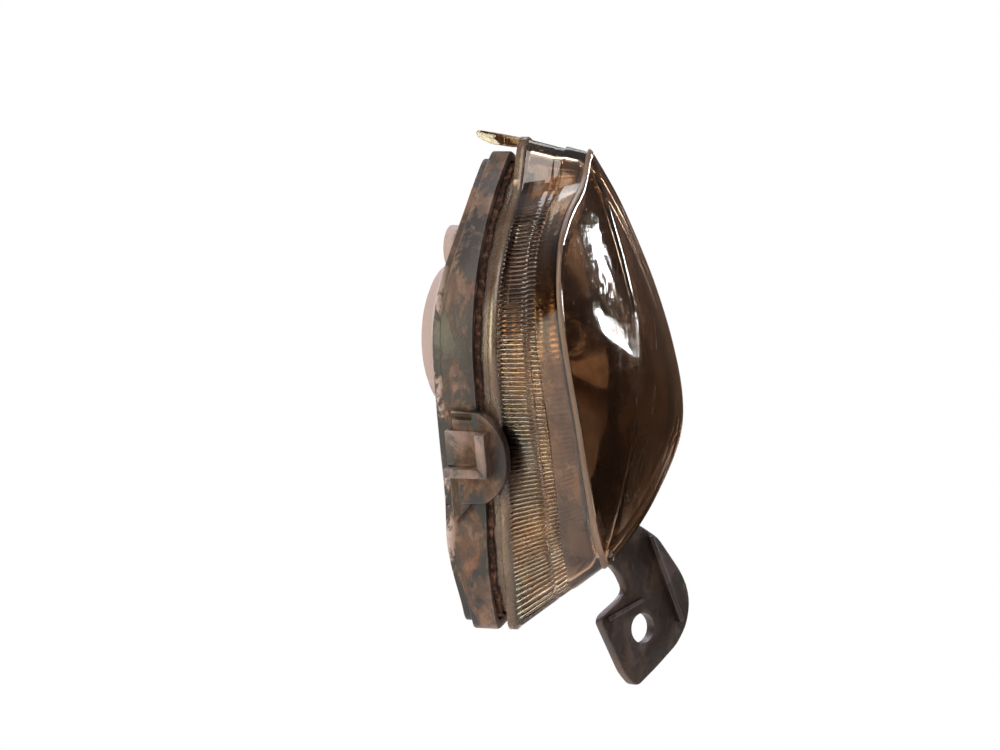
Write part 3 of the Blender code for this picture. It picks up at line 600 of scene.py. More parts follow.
def plated(name, bright, dull, size, smooth_to, rough_to, grain=0.0):
    """Metal whose colour and gloss drift between two states in soft clouds, with a fine grain."""
    material, tree, shader = blank(name)
    cloud = mottle(tree, size, 0.32, 0.7, rough=0.62, twist=0.5)
    fill(shader, {
        "Base Color": add(tree, "ShaderNodeMix", {
            **COLOUR_MIX, SHARE: cloud, FIRST: linear(bright), SECOND: linear(dull)}, out=MIXED),
        "Metallic": 1.0,
        "Roughness": add(tree, "ShaderNodeMapRange", {"Value": cloud, "To Min": smooth_to, "To Max": rough_to})})
    if grain:
        fill(shader, {"Normal": add(tree, "ShaderNodeBump", {"Height": cloud, "Strength": grain,
                                                             "Distance": 0.03 * MM})})
    return material


def tarnished_chrome():
    """Metallised plastic trim, a little tarnished: mirror-like with soft brown clouds, whose brown is tarnish and
    a painted reflection of brown surroundings.
    """
    # Its brown colours are tarnish and also a painted reflection of brown surroundings.
    return plated("tarnished_chrome", "a8957a", "5e4737", 12.0, 0.2, 0.34)


def sputtered_aluminium():
    """Metallised reflector bowl: bright mirror with a faint bloom."""
    return plated("sputtered_aluminium", "e0dcd6", "b3a79a", 18.0, 0.05, 0.14)


def zinc_plate():
    """Zinc-plated steel: satin grey with yellowish mottling."""
    return plated("zinc_plate", "b9b4a4", "857d6b", 1.5, 0.28, 0.5, 0.3)


def rolled_brass():
    """Pressed brass strip, tarnished in patches."""
    return plated("rolled_brass", "c9a35a", "7a5c2c", 1.5, 0.25, 0.45, 0.2)


def drawn_tungsten():
    """Drawn tungsten wire: dark grey and fairly bright."""
    return plated("drawn_tungsten", "8b8b90", "4d4d52", 0.5, 0.25, 0.45, 0.2)


def moulded(name, dark, pale, size, roughness, ior, depth):
    """Moulded plastic or rubber with a cloudy colour and a fine grain."""
    material, tree, shader = blank(name)
    grain = mottle(tree, size, 0.3, 0.75)
    cloud = add(tree, "ShaderNodeMix", {
        **COLOUR_MIX, SHARE: grain, FIRST: linear(dark), SECOND: linear(pale)}, out=MIXED)
    bump = add(tree, "ShaderNodeBump", {"Height": grain, "Strength": 0.4, "Distance": depth * MM})
    fill(shader, {"Base Color": cloud, "Roughness": roughness, "IOR": ior, "Normal": bump})
    return material


def matt_rubber():
    """Moulded EPDM rubber: soft black with dust in its grain."""
    return moulded("matt_rubber", "15120f", "4a3b30", 1.2, 0.82, 1.5, 0.05)


def moulded_acetal():
    """Moulded acetal: creamy white and waxy."""
    return moulded("moulded_acetal", "c9c0ad", "e6e0d2", 3.0, 0.45, 1.48, 0.02)


def quartz_glass():
    """Fused quartz: water-clear, with a slight smoky bloom from use."""
    material, tree, shader = blank("quartz_glass")
    bloom = mottle(tree, 5.0, 0.35, 0.75)
    fill(shader, {
        "Base Color": add(tree, "ShaderNodeMix", {
            **COLOUR_MIX, SHARE: bloom, FIRST: linear("f4f6f6"), SECOND: linear("cfd2d0")}, out=MIXED),
        "Roughness": add(tree, "ShaderNodeMapRange", {"Value": bloom, "To Max": 0.08}),
        "IOR": 1.46, "Transmission Weight": 1.0})
    return material


RECIPES = {recipe.__name__: recipe for recipe in (
    dusty_polypropylene, aged_polycarbonate, old_butyl, tarnished_chrome, sputtered_aluminium, zinc_plate,
    rolled_brass, drawn_tungsten, matt_rubber, moulded_acetal, quartz_glass)}


def finish_of(name):
    """The finish of that name, made the first time it is asked for."""
    return bpy.data.materials.get(name) or RECIPES[name]()


# ---- Settings -------------------------------------------------------------------------------------------------

def colour_setting(name, description, value):
    """Colour property with an sRGB hex default."""
    return FloatVectorProperty(name=name, description=description, subtype="COLOR", size=3, min=0.0, max=1.0,
                               default=linear(value)[:3])


class FogLampSizes(bpy.types.PropertyGroup):
    """Sizes of the fine shapes."""

    flute_depth: FloatProperty(name="Flute depth", description="Height of the side wall's flutes",
                               default=0.42 * MM, unit="LENGTH")
    crease_height: FloatProperty(name="Crease height", description="Height of the bead along the lens crease",
                                 default=0.8 * MM, unit="LENGTH")
    trim_flutes: IntProperty(name="Trim flutes", description="Flutes round the chromed trim", default=160, min=20)
    trim_flute_depth: FloatProperty(name="Trim flute depth", description="Height of the trim's flutes",
                                    default=0.2 * MM, unit="LENGTH")
    trim_lean: FloatProperty(name="Trim flute lean", description="Flutes that each trim flute leans by from back "
                             "to front", default=2.5)
    cap_ribs: IntProperty(name="Cap ribs", description="Grip ribs round the rear cap", default=48, min=12)
    filament_turns: IntProperty(name="Filament turns", description="Turns of the bulb's filament",
                                default=11, min=3)


class FogLampColours(bpy.types.PropertyGroup):
    """Colours that age and dust give the lamp; the caked dust on sharp edges and the scuff on the crease's near
    side are also painted highlights.
    """

    plastic: colour_setting("Plastic", "Bare housing plastic", "17181c")
    brown_plastic: colour_setting("Brown plastic", "Sun-browned plastic of the ear", "241408")
    dust: colour_setting("Dust", "Road dust on the housing", "37281e")
    pale_dust: colour_setting("Pale dust", "Thicker dust on the housing", "6f5547")
    # Along sharp edges this colour is also a painted highlight.
    caked_dust_and_edge_highlight: colour_setting("Caked dust", "Thick dust on the back and along the edges", "a69799")
    stain: colour_setting("Stain", "Rusty stains on the housing", "5a351e")
    lens: colour_setting("Lens", "Yellowed lens", "cbb69f")
    lens_deep: colour_setting("Lens, deep", "Most yellowed parts of the lens", "98785c")
    # On the crease's near side this colour is also a painted highlight.
    scuff_and_highlight: colour_setting("Scuff", "Scuffed crease and flange of the lens", "80604e")


class FogLampStage(bpy.types.PropertyGroup):
    """Camera, floor and light."""

    azimuth: FloatProperty(name="Camera azimuth", description="Angle of the camera round the lamp",
                           default=math.radians(-68), subtype="ANGLE")
    roll: FloatProperty(name="Camera roll", description="Tilt of the camera about its line of sight",
                        default=math.radians(1.54), subtype="ANGLE")
    distance: FloatProperty(name="Camera distance", description="Distance from the camera to the lamp",
                            default=1.2, unit="LENGTH")
    frame_width: FloatProperty(name="Frame width", description="Width that the camera takes in at the lamp",
                               default=256.4 * MM, unit="LENGTH")
    floor_drop: FloatProperty(name="Floor drop", description="How far the floor is below the lamp",
                              default=0.12, unit="LENGTH")


def sizes():
    """The scene's sizes."""
    return bpy.context.scene.fog_lamp_sizes


def colours():
    """The scene's colours."""
    return bpy.context.scene.fog_lamp_colours


def hue(value):
    """Colour setting as a shader colour."""
    return tuple(value) + (1.0,)


# ---- Geometry Nodes -------------------------------------------------------------------------------------------

def node_group(name, numbers, objects=()):
    """Empty Geometry Nodes tree with its named inputs, and its input and output nodes."""
    tree = bpy.data.node_groups.new(name, "GeometryNodeTree")
    tree.interface.new_socket("Geometry", in_out="INPUT", socket_type="NodeSocketGeometry")
    for label in numbers:
        tree.interface.new_socket(label, in_out="INPUT", socket_type="NodeSocketFloat")
    for label in objects:
        tree.interface.new_socket(label, in_out="INPUT", socket_type="NodeSocketObject")
    tree.interface.new_socket("Material", in_out="INPUT", socket_type="NodeSocketMaterial")
    tree.interface.new_socket("Geometry", in_out="OUTPUT", socket_type="NodeSocketGeometry")
    return tree, tree.nodes.new("NodeGroupInput"), tree.nodes.new("NodeGroupOutput")


def close_tree(tree, given, result, geometry):
    """End a tree in real geometry with its material."""
    solid = add(tree, "GeometryNodeRealizeInstances", {"Geometry": geometry})
    coated = add(tree, "GeometryNodeSetMaterial", {"Geometry": solid, "Material": given.outputs["Material"]})
    tree.links.new(coated, result.inputs["Geometry"])
    return tree


def flute_tree():
    """Raises a surface in round flutes: the flute and share attributes say where and how much."""
    tree, given, result = node_group("Flutes", ["Depth"])
    turn = add(tree, "GeometryNodeInputNamedAttribute", {"data_type": "FLOAT", "Name": "flute"})
    share = add(tree, "GeometryNodeInputNamedAttribute", {"data_type": "FLOAT", "Name": "share"})
    angle = add(tree, "ShaderNodeMath", {"operation": "MULTIPLY", 0: turn, 1: math.pi})
    wave = add(tree, "ShaderNodeMath", {"operation": "SINE", 0: angle})
    ridge = add(tree, "ShaderNodeMath", {"operation": "ABSOLUTE", 0: wave})
    ridge = add(tree, "ShaderNodeMath", {"operation": "SUBTRACT", 0: ridge, 1: 0.5})
    height = add(tree, "ShaderNodeMath", {"operation": "MULTIPLY", 0: ridge, 1: share})
    height = add(tree, "ShaderNodeMath", {"operation": "MULTIPLY", 0: height, 1: given.outputs["Depth"]})
    normal = add(tree, "GeometryNodeInputNormal")
    offset = add(tree, "ShaderNodeVectorMath", {"operation": "SCALE", 0: normal, "Scale": height})
    moved = add(tree, "GeometryNodeSetPosition", {"Geometry": given.outputs["Geometry"], "Offset": offset})
    return close_tree(tree, given, result, moved)


def copies_tree():
    """Sets a copy of an object on each point, turned about the forward axis by the turn attribute."""
    tree, given, result = node_group("Copies", [], ["Copy"])
    turn = add(tree, "GeometryNodeInputNamedAttribute", {"data_type": "FLOAT", "Name": "turn"})
    rotation = add(tree, "ShaderNodeCombineXYZ", {"Y": turn})
    shape = add(tree, "GeometryNodeObjectInfo", {"Object": given.outputs["Copy"]}, out="Geometry")
    placed = add(tree, "GeometryNodeInstanceOnPoints", {"Points": given.outputs["Geometry"], "Instance": shape,
                                                        "Rotation": rotation})
    return close_tree(tree, given, result, placed)


def coil_tree():
    """Winds a wire into a coil about the forward axis, centred on the geometry's first point."""
    tree, given, result = node_group("Coil", ["Turns", "Radius", "Length", "Wire"])
    spiral = add(tree, "GeometryNodeCurveSpiral", {
        "Resolution": 16, "Rotations": given.outputs["Turns"], "Start Radius": given.outputs["Radius"],
        "End Radius": given.outputs["Radius"], "Height": given.outputs["Length"]})
    section = add(tree, "GeometryNodeCurvePrimitiveCircle", {"Resolution": 8, "Radius": given.outputs["Wire"]})
    wire = add(tree, "GeometryNodeCurveToMesh", {"Curve": spiral, "Profile Curve": section, "Fill Caps": True})
    wire = add(tree, "GeometryNodeTransform", {"Geometry": wire, "Rotation": (math.pi / 2, 0, 0)})
    placed = add(tree, "GeometryNodeInstanceOnPoints", {"Points": given.outputs["Geometry"], "Instance": wire})
    return close_tree(tree, given, result, placed)


TREES = {"Flutes": flute_tree, "Copies": copies_tree, "Coil": coil_tree}


def grow(obj, name, values, finish):
    """Run a Geometry Nodes tree on an object, with its inputs set, and keep the plain mesh."""
    tree = bpy.data.node_groups.get(name) or TREES[name]()
    modifier = obj.modifiers.new(name, "NODES")
    modifier.node_group = tree
    sockets = {item.name: item.identifier for item in tree.interface.items_tree if item.in_out == "INPUT"}
    for label, value in {**values, "Material": finish_of(finish)}.items():
        modifier[sockets[label]] = value
    settle(obj)


def point_cloud(name, points, turns):
    """Mesh of loose points, in metres, each with its turn."""
    mesh = bpy.data.meshes.new(name)
    mesh.from_pydata([tuple(p) for p in points], [], [])
    obj = bpy.data.objects.new(name, mesh)
    bpy.context.scene.collection.objects.link(obj)
    mark(obj, "turn", turns)
    return obj


# ---- Pieces ---------------------------------------------------------------------------------------------------

BODY_STEPS = (175, 205)
SCREW_SHARES = (0.13, 0.36, 0.66, 0.86)


def screw_places(lines):
    """Centres of the four trim screws, as (x, z)."""
    line = shrink(lines.rim, 10.9)
    return [tuple(line[round(len(line) * share)]) for share in SCREW_SHARES]


def rod(radius, back, front, centre, segments=48):
    """Plain cylinder along the forward axis."""
    return turned("rod", [(0, back), (radius, back), (radius, front), (0, front)], centre, segments)


def dome(lines, k, start, edge_inset, radius, end_depth):
    """Ring of the domed back, from the rear opening at k = 0 to the shoulder at k = 1."""
    edge = shrink(lines.rim, edge_inset)
    points = toward_circle(edge, CAP_CENTRE, radius) * (1 - k) + edge * k
    depth = lines.band() + start
    return ring(points, -(depth + (end_depth - depth) * (1 - k) ** DOME_CURVE))


def shell():
    """Housing shell: lip, skirt band, bead strip, domed back, neck, bore and glue channel."""
    lines = Outlines(*BODY_STEPS)

    def back(inset, extra):
        return lines.at(inset, -lines.band() - extra)

    neck = toward_circle(shrink(lines.rim, 3.2), CAP_CENTRE, NECK_RADIUS)
    bore = toward_circle(shrink(lines.rim, INNER_WALL), CAP_CENTRE, BORE_RADIUS)
    lip = toward_circle(shrink(lines.rim, INNER_WALL), CAP_CENTRE, 15.2)
    rings = [lines.at(0, 0), back(0, 0), back(1.5, 0.5), back(1.5, 2.6), back(3.2, BACK_STEP)]
    rings += [dome(lines, k, BACK_STEP, 3.2, NECK_RADIUS, DOME_DEPTH) for k in (0.8, 0.55, 0.3, 0.12, 0.0)]
    rings += [ring(neck, -NECK_BACK), ring(bore, -NECK_BACK), ring(bore, -19.4), ring(lip, -19.4)]
    rings += [ring(lip, -18.3), ring(bore, -18.3)]
    rings += [dome(lines, k, 1.0, INNER_WALL, BORE_RADIUS, 17.8) for k in (0.12, 0.3, 0.55, 0.8, 1.0)]
    rings += [lines.at(INNER_WALL, -1.0), lines.at(CHANNEL_INNER, -1.0)]
    rings += [lines.at(CHANNEL_INNER, lines.channel_floor()), lines.at(BAND_WALL, lines.channel_floor())]
    rings += [lines.at(BAND_WALL, 0)]
    return loft("housing_shell", soften(rings, 0.35))


def ear_solids():
    """Bolt ear: root, L-shaped plate and edge rib."""
    lines = Outlines(*BODY_STEPS)
    root = [tuple(p) for p in shrink(lines.rim, 1.0) if p[0] > 30 and -43 < p[1] < -26]
    root += [(50.5, -27.5), (50.5, -41.0), (40.0, -45.0)]
    arm = [(-23, -29.0), (-10, -32.0), (-1, -35.8), (4.8, -38.7), (13.2, -47.7), (15.5, -51.3)]
    nose = [(16.7, -55.1), (16.7, -58.6), (15.7, -62.8), (12.7, -67.5), (5.6, -73.5), (-0.7, -78.3)]
    foot = [(-2.7, -78.1), (-6.2, -75.0), (-14.8, -61.4), (-14.1, -59.6), (-7.7, -55.2), (-5.8, -52.7)]
    plate = arm + nose + foot + [(-8.7, -48.2), (-12.5, -45.3), (-22, -42.5)]
    rib = [(0.4, -38.4), (1.7, -38.0), (13.8, -60.9), (12.4, -61.5)]
    step = [(-12.8, -59.9), (-12.3, -61.0), (-0.1, -55.8), (-0.6, -54.7)]
    return [prism("root", root, -8.0, 4.6, across, 0.4),
            prism("plate", rounded(plate, 1.6, 2), -EAR_THICKNESS, 0, ear_point, 0.45),
            prism("rib", rib, -1.0, 1.5, ear_point, 0.3),
            prism("step", step, -1.0, 0.7, ear_point, 0.3)]


def tab_solids():
    """Locating tab: round-nosed plate, pocket box and gusset."""
    nose = [(u, TAB_REACH * (1 - (abs(u) / TAB_HALF) ** TAB_NOSE_POWER)) for u in range(-12, 13)]
    nose = [(-12.5, -6.0)] + nose + [(12.5, -6.0)]
    gusset = [(3.0, -8.3), (3.0, 0.5), (12.8, -3.3), (18.0, -8.4)]
    return [prism("tab_plate", nose, -1.7, 1.5, tab_point, 0.35),
            prism("tab_box", rectangle(-7.4, 4.2, -8.0, 4.0), -0.3, 5.6, tab_point, 0.4),
            prism("gusset", gusset, -1.7, 0.9, tab_point, 0.25)]


def make_housing():
    """Housing with its ear, tab, bosses and bores."""
    lines = Outlines(*BODY_STEPS)
    body = shell()
    joined = ear_solids() + tab_solids() + [rod(5.8, -17.0, -10.0, ADJUSTER)]
    joined += [rod(4.0, -14.5, PIVOT_FORWARD - 4, (x, PIVOT_Z)) for x in PIVOT_X]
    joined += [rod(2.8, -9.0, -1.2, centre) for centre in screw_places(lines)]
    combine(body, "UNION", joined)
    bore = [(0, -18.0), (4.3, -18.0), (4.3, -13.6), (3.7, -13.6)]
    bore += [(3.7, -9.8), (6.2, -9.8), (6.2, -4.0), (0, -4.0)]
    cuts = [turned("adjuster_bore", bore, ADJUSTER, 64)]
    cuts += [rod(1.35, -7.5, 1.0, centre, 24) for centre in screw_places(lines)]
    for i in range(3):
        angle = LUG_SPACING * i
        sector = [(0, 0)] + arc((0, 0), 17.1, angle - NOTCH_HALF, angle + NOTCH_HALF, 8)
        cuts.append(prism("notch", sector, -20.0, -17.9, about_cap))
    hole = arc((0, EAR_HOLE[2]), EAR_HOLE_RADIUS, 0, 360, 64)[:-1]
    cuts.append(prism("ear_hole", hole, -8, 8, ear_point))
    cuts.append(prism("tab_pocket", rectangle(-9.0, 1.8, -9.6, 1.5), 2.2, 7.0, tab_point, 0.4))
    cuts.append(prism("tab_slot", rectangle(-11.9, -10.1, -7.7, -0.5), -1.2, 3.0, tab_point, 0.3))
    cuts.append(prism("drain_notch", rounded(rectangle(8.6, 14.2, -12.6, -10.0), 1.2, 3), -3.0, 0.6, tab_point))
    combine(body, "DIFFERENCE", cuts)
    body.name = "housing_body"
    dress(smooth(body), "dusty_polypropylene", "lamp", ["housing"])


def make_lens():
    """Clear cover: fluted side wall with its step and creased front, and a small lip at the top."""
    lines = Outlines(NEAR_FLUTES * POINTS_PER_FLUTE, FAR_FLUTES * POINTS_PER_FLUTE)
    near = 1 - smoothstep(-1, 3, lines.crease[:, 0])
    bead = sizes().crease_height / MM
    leg = lines.channel_floor() + 1.6
    rows = [(lines.at(LEG_OUTER, leg), 0), (lines.at(LEG_OUTER, FLANGE_START), 0)]
    rows += [(ring(shrink(lines.base, 0.15), FLANGE_START), 0), (ring(lines.base, FLANGE_START + 0.15), 0)]
    rows += [(ring(lines.base, FLANGE_END - 0.25), 0), (ring(shrink(lines.base, 0.15), FLANGE_END), 0)]
    flange_to = len(rows)
    rows += [(lines.wall(0.02, 0.5), 0), (lines.wall(0.035, 0.5), 1)]
    rows += [(lines.wall(k, 0.5), 1) for k in (0.08, 0.15, 0.22, 0.29, 0.36, 0.425)]
    gap_at = len(rows)
    rows += [(lines.wall(0.437, 0.56), 0.5), (lines.wall(0.452, 0.56), 0.5), (lines.wall(0.465, 0.5), 1)]
    rows += [(lines.wall(k, 0.5), 1) for k in (0.50, 0.54, 0.575)]
    rows += [(lines.wall(0.59, 0.45), 0.4), (lines.wall(0.605, 0.1), 0), (lines.wall(0.62, 0), 0)]
    rows += [(lines.wall(k, 0), 0) for k in (0.70, 0.80, 0.88, 0.94)]
    crease_scuff_and_highlight_from = len(rows)
    height = bead * (0.25 + 0.75 * near)[:, None]
    for k, lift in ((0.948, 0), (0.958, 0.7), (0.975, 1), (0.995, 1)):
        flat = lines.wall(k, 0)
        rows.append((flat + (lines.wall(k, -1) - flat) * lift * height, 0))
    flat = lines.face(1.0, 0)
    rows += [(flat + (lines.face(1.0, -1) - flat) * 0.6 * height, 0), (lines.face(0.985, 0), 0)]
    crease_scuff_and_highlight_to = len(rows)
    rows += [(lines.face(s, 0), 0) for s in (0.97, 0.95, 0.9, 0.8, 0.68, 0.54, 0.4, 0.26, 0.12)]
    inner = [lines.at(LEG_INNER, leg), lines.at(LEG_INNER, FLANGE_START + 0.2)]
    inner += [lines.wall(k, LENS_WALL + 0.4) for k in (0.05, 0.18, 0.3, 0.42)]
    inner += [lines.wall(0.6, LENS_WALL), lines.wall(0.8, LENS_WALL)]
    inner += [lines.face(s, LENS_WALL) for s in (0.99, 0.93, 0.85, 0.75, 0.6, 0.42, 0.2)]
    tip = crease_forward(np.array([FACE_CENTRE], dtype=float))[0] + FACE_BULGE
    poles = [(FACE_CENTRE[0], tip - drop, FACE_CENTRE[1]) for drop in (0, LENS_WALL * 0.9)]
    outer = rows[::-1]
    lens = loft("lens_cover", [points for points, _ in outer] + inner, closed=False, poles=poles)
    count = len(lines.rim)
    flute = np.arange(count) / POINTS_PER_FLUTE
    shifted = [0.5 if i > gap_at and value > 0 else 0.0 for i, (_, value) in enumerate(rows)]
    phase = np.array(shifted[::-1] + [0] * len(inner))
    share = np.array([value for _, value in outer] + [0] * len(inner))
    fade = 1 - smoothstep(42, 52, lines.rim[:, 1])
    # Crease rows take the scuff colour on the near side only, as scuffing and a painted highlight; flange rows
    # take plain wear.
    worn = np.zeros((len(share), count))
    worn[len(rows) - crease_scuff_and_highlight_to + 1:len(rows) - crease_scuff_and_highlight_from - 1] = 0.8 * near
    worn[len(rows) - flange_to:len(rows)] = 0.45
    mark(lens, "flute", np.concatenate([np.add.outer(phase, flute).ravel(), [0, 0]]))
    mark(lens, "share", np.concatenate([np.outer(share, fade).ravel(), [0, 0]]))
    mark(lens, "worn", np.concatenate([worn.ravel(), [0, 0]]))
    grow(lens, "Flutes", {"Depth": sizes().flute_depth}, "aged_polycarbonate")
    smooth(lens, 55)
    dress(lens, "aged_polycarbonate", "lamp", ["lens"])
    section = [(5.0, 64.4), (0.5, 65.2), (-4.6, 66.1), (-8.2, 66.6), (-8.9, 65.6), (-7.4, 64.2), (-4.4, 63.0),
               (-0.5, 62.4), (5.0, 62.6)]
    lip = prism("lens_lip", rounded(section, 0.9, 3), -2.4, 2.4, lambda f, z, x: (x, f, z), 0.7)
    dress(smooth(lip), "aged_polycarbonate", "lamp", [])


def make_sealant():
    """Ragged butyl bead that fills the glue channel round the lens leg."""
    lines = Outlines(*BODY_STEPS)
    floor = lines.channel_floor()
    around = np.linspace(0, 2 * np.pi, len(floor), endpoint=False)
    ragged = sum(np.sin(around * n + n * n) / (2 + 0.06 * n) for n in (23, 41, 67, 97, 131))
    rings = [lines.at(2.3, 1.0 + 0.55 * ragged), lines.at(2.3, floor + 0.6), lines.at(7.1, floor + 0.6)]
    rings += [lines.at(7.1, -2.0), lines.at(6.1, -2.0), lines.at(6.1, floor + 1.25), lines.at(3.0, floor + 1.25)]
    rings += [lines.at(3.0, 1.2 + 0.7 * np.roll(ragged, 3))]
    bead = loft("sealant_bead_ragged", soften(rings, 0.25))
    dress(smooth(bead, 60), "old_butyl", "lamp", ["sealant_bead"])


def make_trim():
    """Chromed inner trim with leaning flutes, and its four screws."""
    count = sizes().trim_flutes
    lines = Outlines(count * 4, count * 4)
    ks = (0.12, 0.35, 0.58, 0.62, 0.70, 0.78, 0.84)
    outer = [lines.wall(k, 4.9 - 0.4 * k) for k in ks]
    inner = [lines.wall(k, 6.1) for k in ks[::-1]]
    rings = [lines.at(7.7, -0.7), lines.at(7.7, 1.2)] + outer + inner
    rings += [lines.at(8.7, 0.9), lines.at(12.4, 0.9), lines.at(12.4, -0.7)]
    fluted = [0, 0, 0, 1, 1, 1, 0.6]
    share = [0, 0] + fluted + fluted[::-1] + [0, 0, 0]
    lean = [0, 0] + list(ks) + list(ks[::-1]) + [0, 0, 0]
    trim = loft("trim_ring", rings)
    around = np.arange(len(lines.rim)) / 8
    mark(trim, "flute", np.concatenate([around + sizes().trim_lean * k for k in lean]))
    mark(trim, "share", np.repeat(share, len(around)))
    grow(trim, "Flutes", {"Depth": sizes().trim_flute_depth}, "tarnished_chrome")
    places = screw_places(Outlines(*BODY_STEPS))
    holes = [rod(1.4, -3.0, 3.0, centre, 24) for centre in places]
    combine(trim, "DIFFERENCE", holes + [rod(7.0, -2.0, 2.5, ADJUSTER)])
    dress(smooth(trim, 50), "tarnished_chrome", "lamp", ["bezel"])
    profile = [(0, -6.5), (1.0, -6.5), (1.0, 1.2), (1.7, 1.2), (1.7, 2.1), (1.2, 2.6), (0, 2.6)]
    screw = turned("screw", rounded(profile, 0.2, 2), (0, 0), 32)
    cross = [prism("slot", rectangle(-u, u, -v, v), 1.9, 3.0, across) for u, v in ((0.2, 1.0), (1.0, 0.2))]
    combine(screw, "DIFFERENCE", cross)
    for vertex in screw.data.vertices:
        vertex.co -= ORIGIN
    screws = point_cloud("trim_screws", [place((x, 0, z))[0] for x, z in places], [0.3, 1.1, 0.7, 1.9])
    grow(screws, "Copies", {"Copy": screw}, "zinc_plate")
    bpy.data.objects.remove(screw, do_unlink=True)
    dress(smooth(screws), "zinc_plate", "lamp", [f"bezel_screw_{i}" for i in (1, 2, 3, 4)])


def bowl_rise(edge, x, z):
    """Forward position inside the bowl's wall at a point, for the end of a boss."""
    away = edge - np.array(CAP_CENTRE)
    angles = np.arctan2(away[:, 1], away[:, 0])
    aim = math.atan2(z - CAP_CENTRE[1], x - CAP_CENTRE[0])
    reach = np.linalg.norm(away[np.argmin(np.abs(angles - aim))]) - REFLECTOR_HOLE
    k = (math.dist((x, z), CAP_CENTRE) - REFLECTOR_HOLE) / reach
    return REFLECTOR_NECK + (REFLECTOR_EDGE - REFLECTOR_NECK) * k ** REFLECTOR_CURVE - REFLECTOR_WALL * 0.5


def make_reflector():
    """Metallised bowl with its bosses."""
    lines = Outlines(*BODY_STEPS)
    edge = shrink(lines.base + (lines.crease - lines.base) * REFLECTOR_LEVEL, REFLECTOR_INSET)
    start = toward_circle(edge, CAP_CENTRE, REFLECTOR_HOLE)
    ks = np.linspace(0, 1, 17)

    def bowl(k, back):
        forward = REFLECTOR_NECK + (REFLECTOR_EDGE - REFLECTOR_NECK) * k ** REFLECTOR_CURVE - back
        return ring(start * (1 - k) + edge * k, forward)

    reflector = loft("reflector_bowl", [bowl(k, 0) for k in ks] + [bowl(k, REFLECTOR_WALL) for k in ks[::-1]])
    pads = [rod(4.0, PIVOT_FORWARD + 2.85, bowl_rise(edge, x, PIVOT_Z), (x, PIVOT_Z)) for x in PIVOT_X]
    pads.append(rod(5.2, -5.4, bowl_rise(edge, *ADJUSTER), ADJUSTER))
    combine(reflector, "UNION", pads)
    pocket = [(0, -7.0), (3.95, -7.0), (3.95, -4.3), (2.6, -4.3), (2.6, -2.9), (0, -2.9)]
    combine(reflector, "DIFFERENCE", [turned("pocket", pocket, ADJUSTER, 48)])
    dress(smooth(reflector, 35), "sputtered_aluminium", "reflector", ["reflector"])


def make_bulb():
    """Halogen bulb: stepped base, glass capsule, coiled filament on its posts, and the wire clip."""
    base = [(0, -16.6), (5.6, -16.6), (5.6, -14.2), (8.8, -14.2)]
    base += [(8.8, -13.2), (6.0, -13.2), (6.0, -9.5), (0, -9.5)]
    obj = turned("bulb_base_turned", rounded(base, 0.4), CAP_CENTRE, 96)
    dress(smooth(obj), "zinc_plate", "reflector", ["bulb_base"])
    outside = arc((0, 9.5), 5.0, 90, 0, 14) + [(5.0, 3.0), (5.0, -4.0), (5.0, -9.2)]
    inside = [(4.2, -9.2), (4.2, -4.0), (4.2, 3.0)] + arc((0, 9.5), 4.2, 0, 90, 14)
    profile = [(0, 14.5)] + outside[1:] + inside[:-1] + [(0, 13.7)]
    obj = turned("bulb_envelope", profile, CAP_CENTRE, 64)
    dress(smooth(obj, 50), "quartz_glass", "reflector", ["bulb_capsule"])
    middle = (CAP_CENTRE[0], -4.4, CAP_CENTRE[1])
    coil = point_cloud("bulb_coil", place(middle), [0])
    grow(coil, "Coil", {"Turns": float(sizes().filament_turns), "Radius": 0.85 * MM, "Length": 8.2 * MM,
                           "Wire": 0.16 * MM}, "drawn_tungsten")
    dress(smooth(coil), "drawn_tungsten", "reflector", ["bulb_filament"])
    for side in (-1, 1):
        tip = -4.2 if side < 0 else 3.6
        post = turned(f"bulb_post_{side + 2}", rounded([(0, -9.4), (0.28, -9.4), (0.28, tip), (0, tip)], 0.1, 2),
                      (CAP_CENTRE[0] + side * 1.5, CAP_CENTRE[1]), 16)
        dress(smooth(post), "drawn_tungsten", "reflector", ["bulb_filament"])
    refinish(["bulb_terminal_1", "bulb_terminal_2"], "rolled_brass")
    refinish(["bulb_clip"], "zinc_plate")


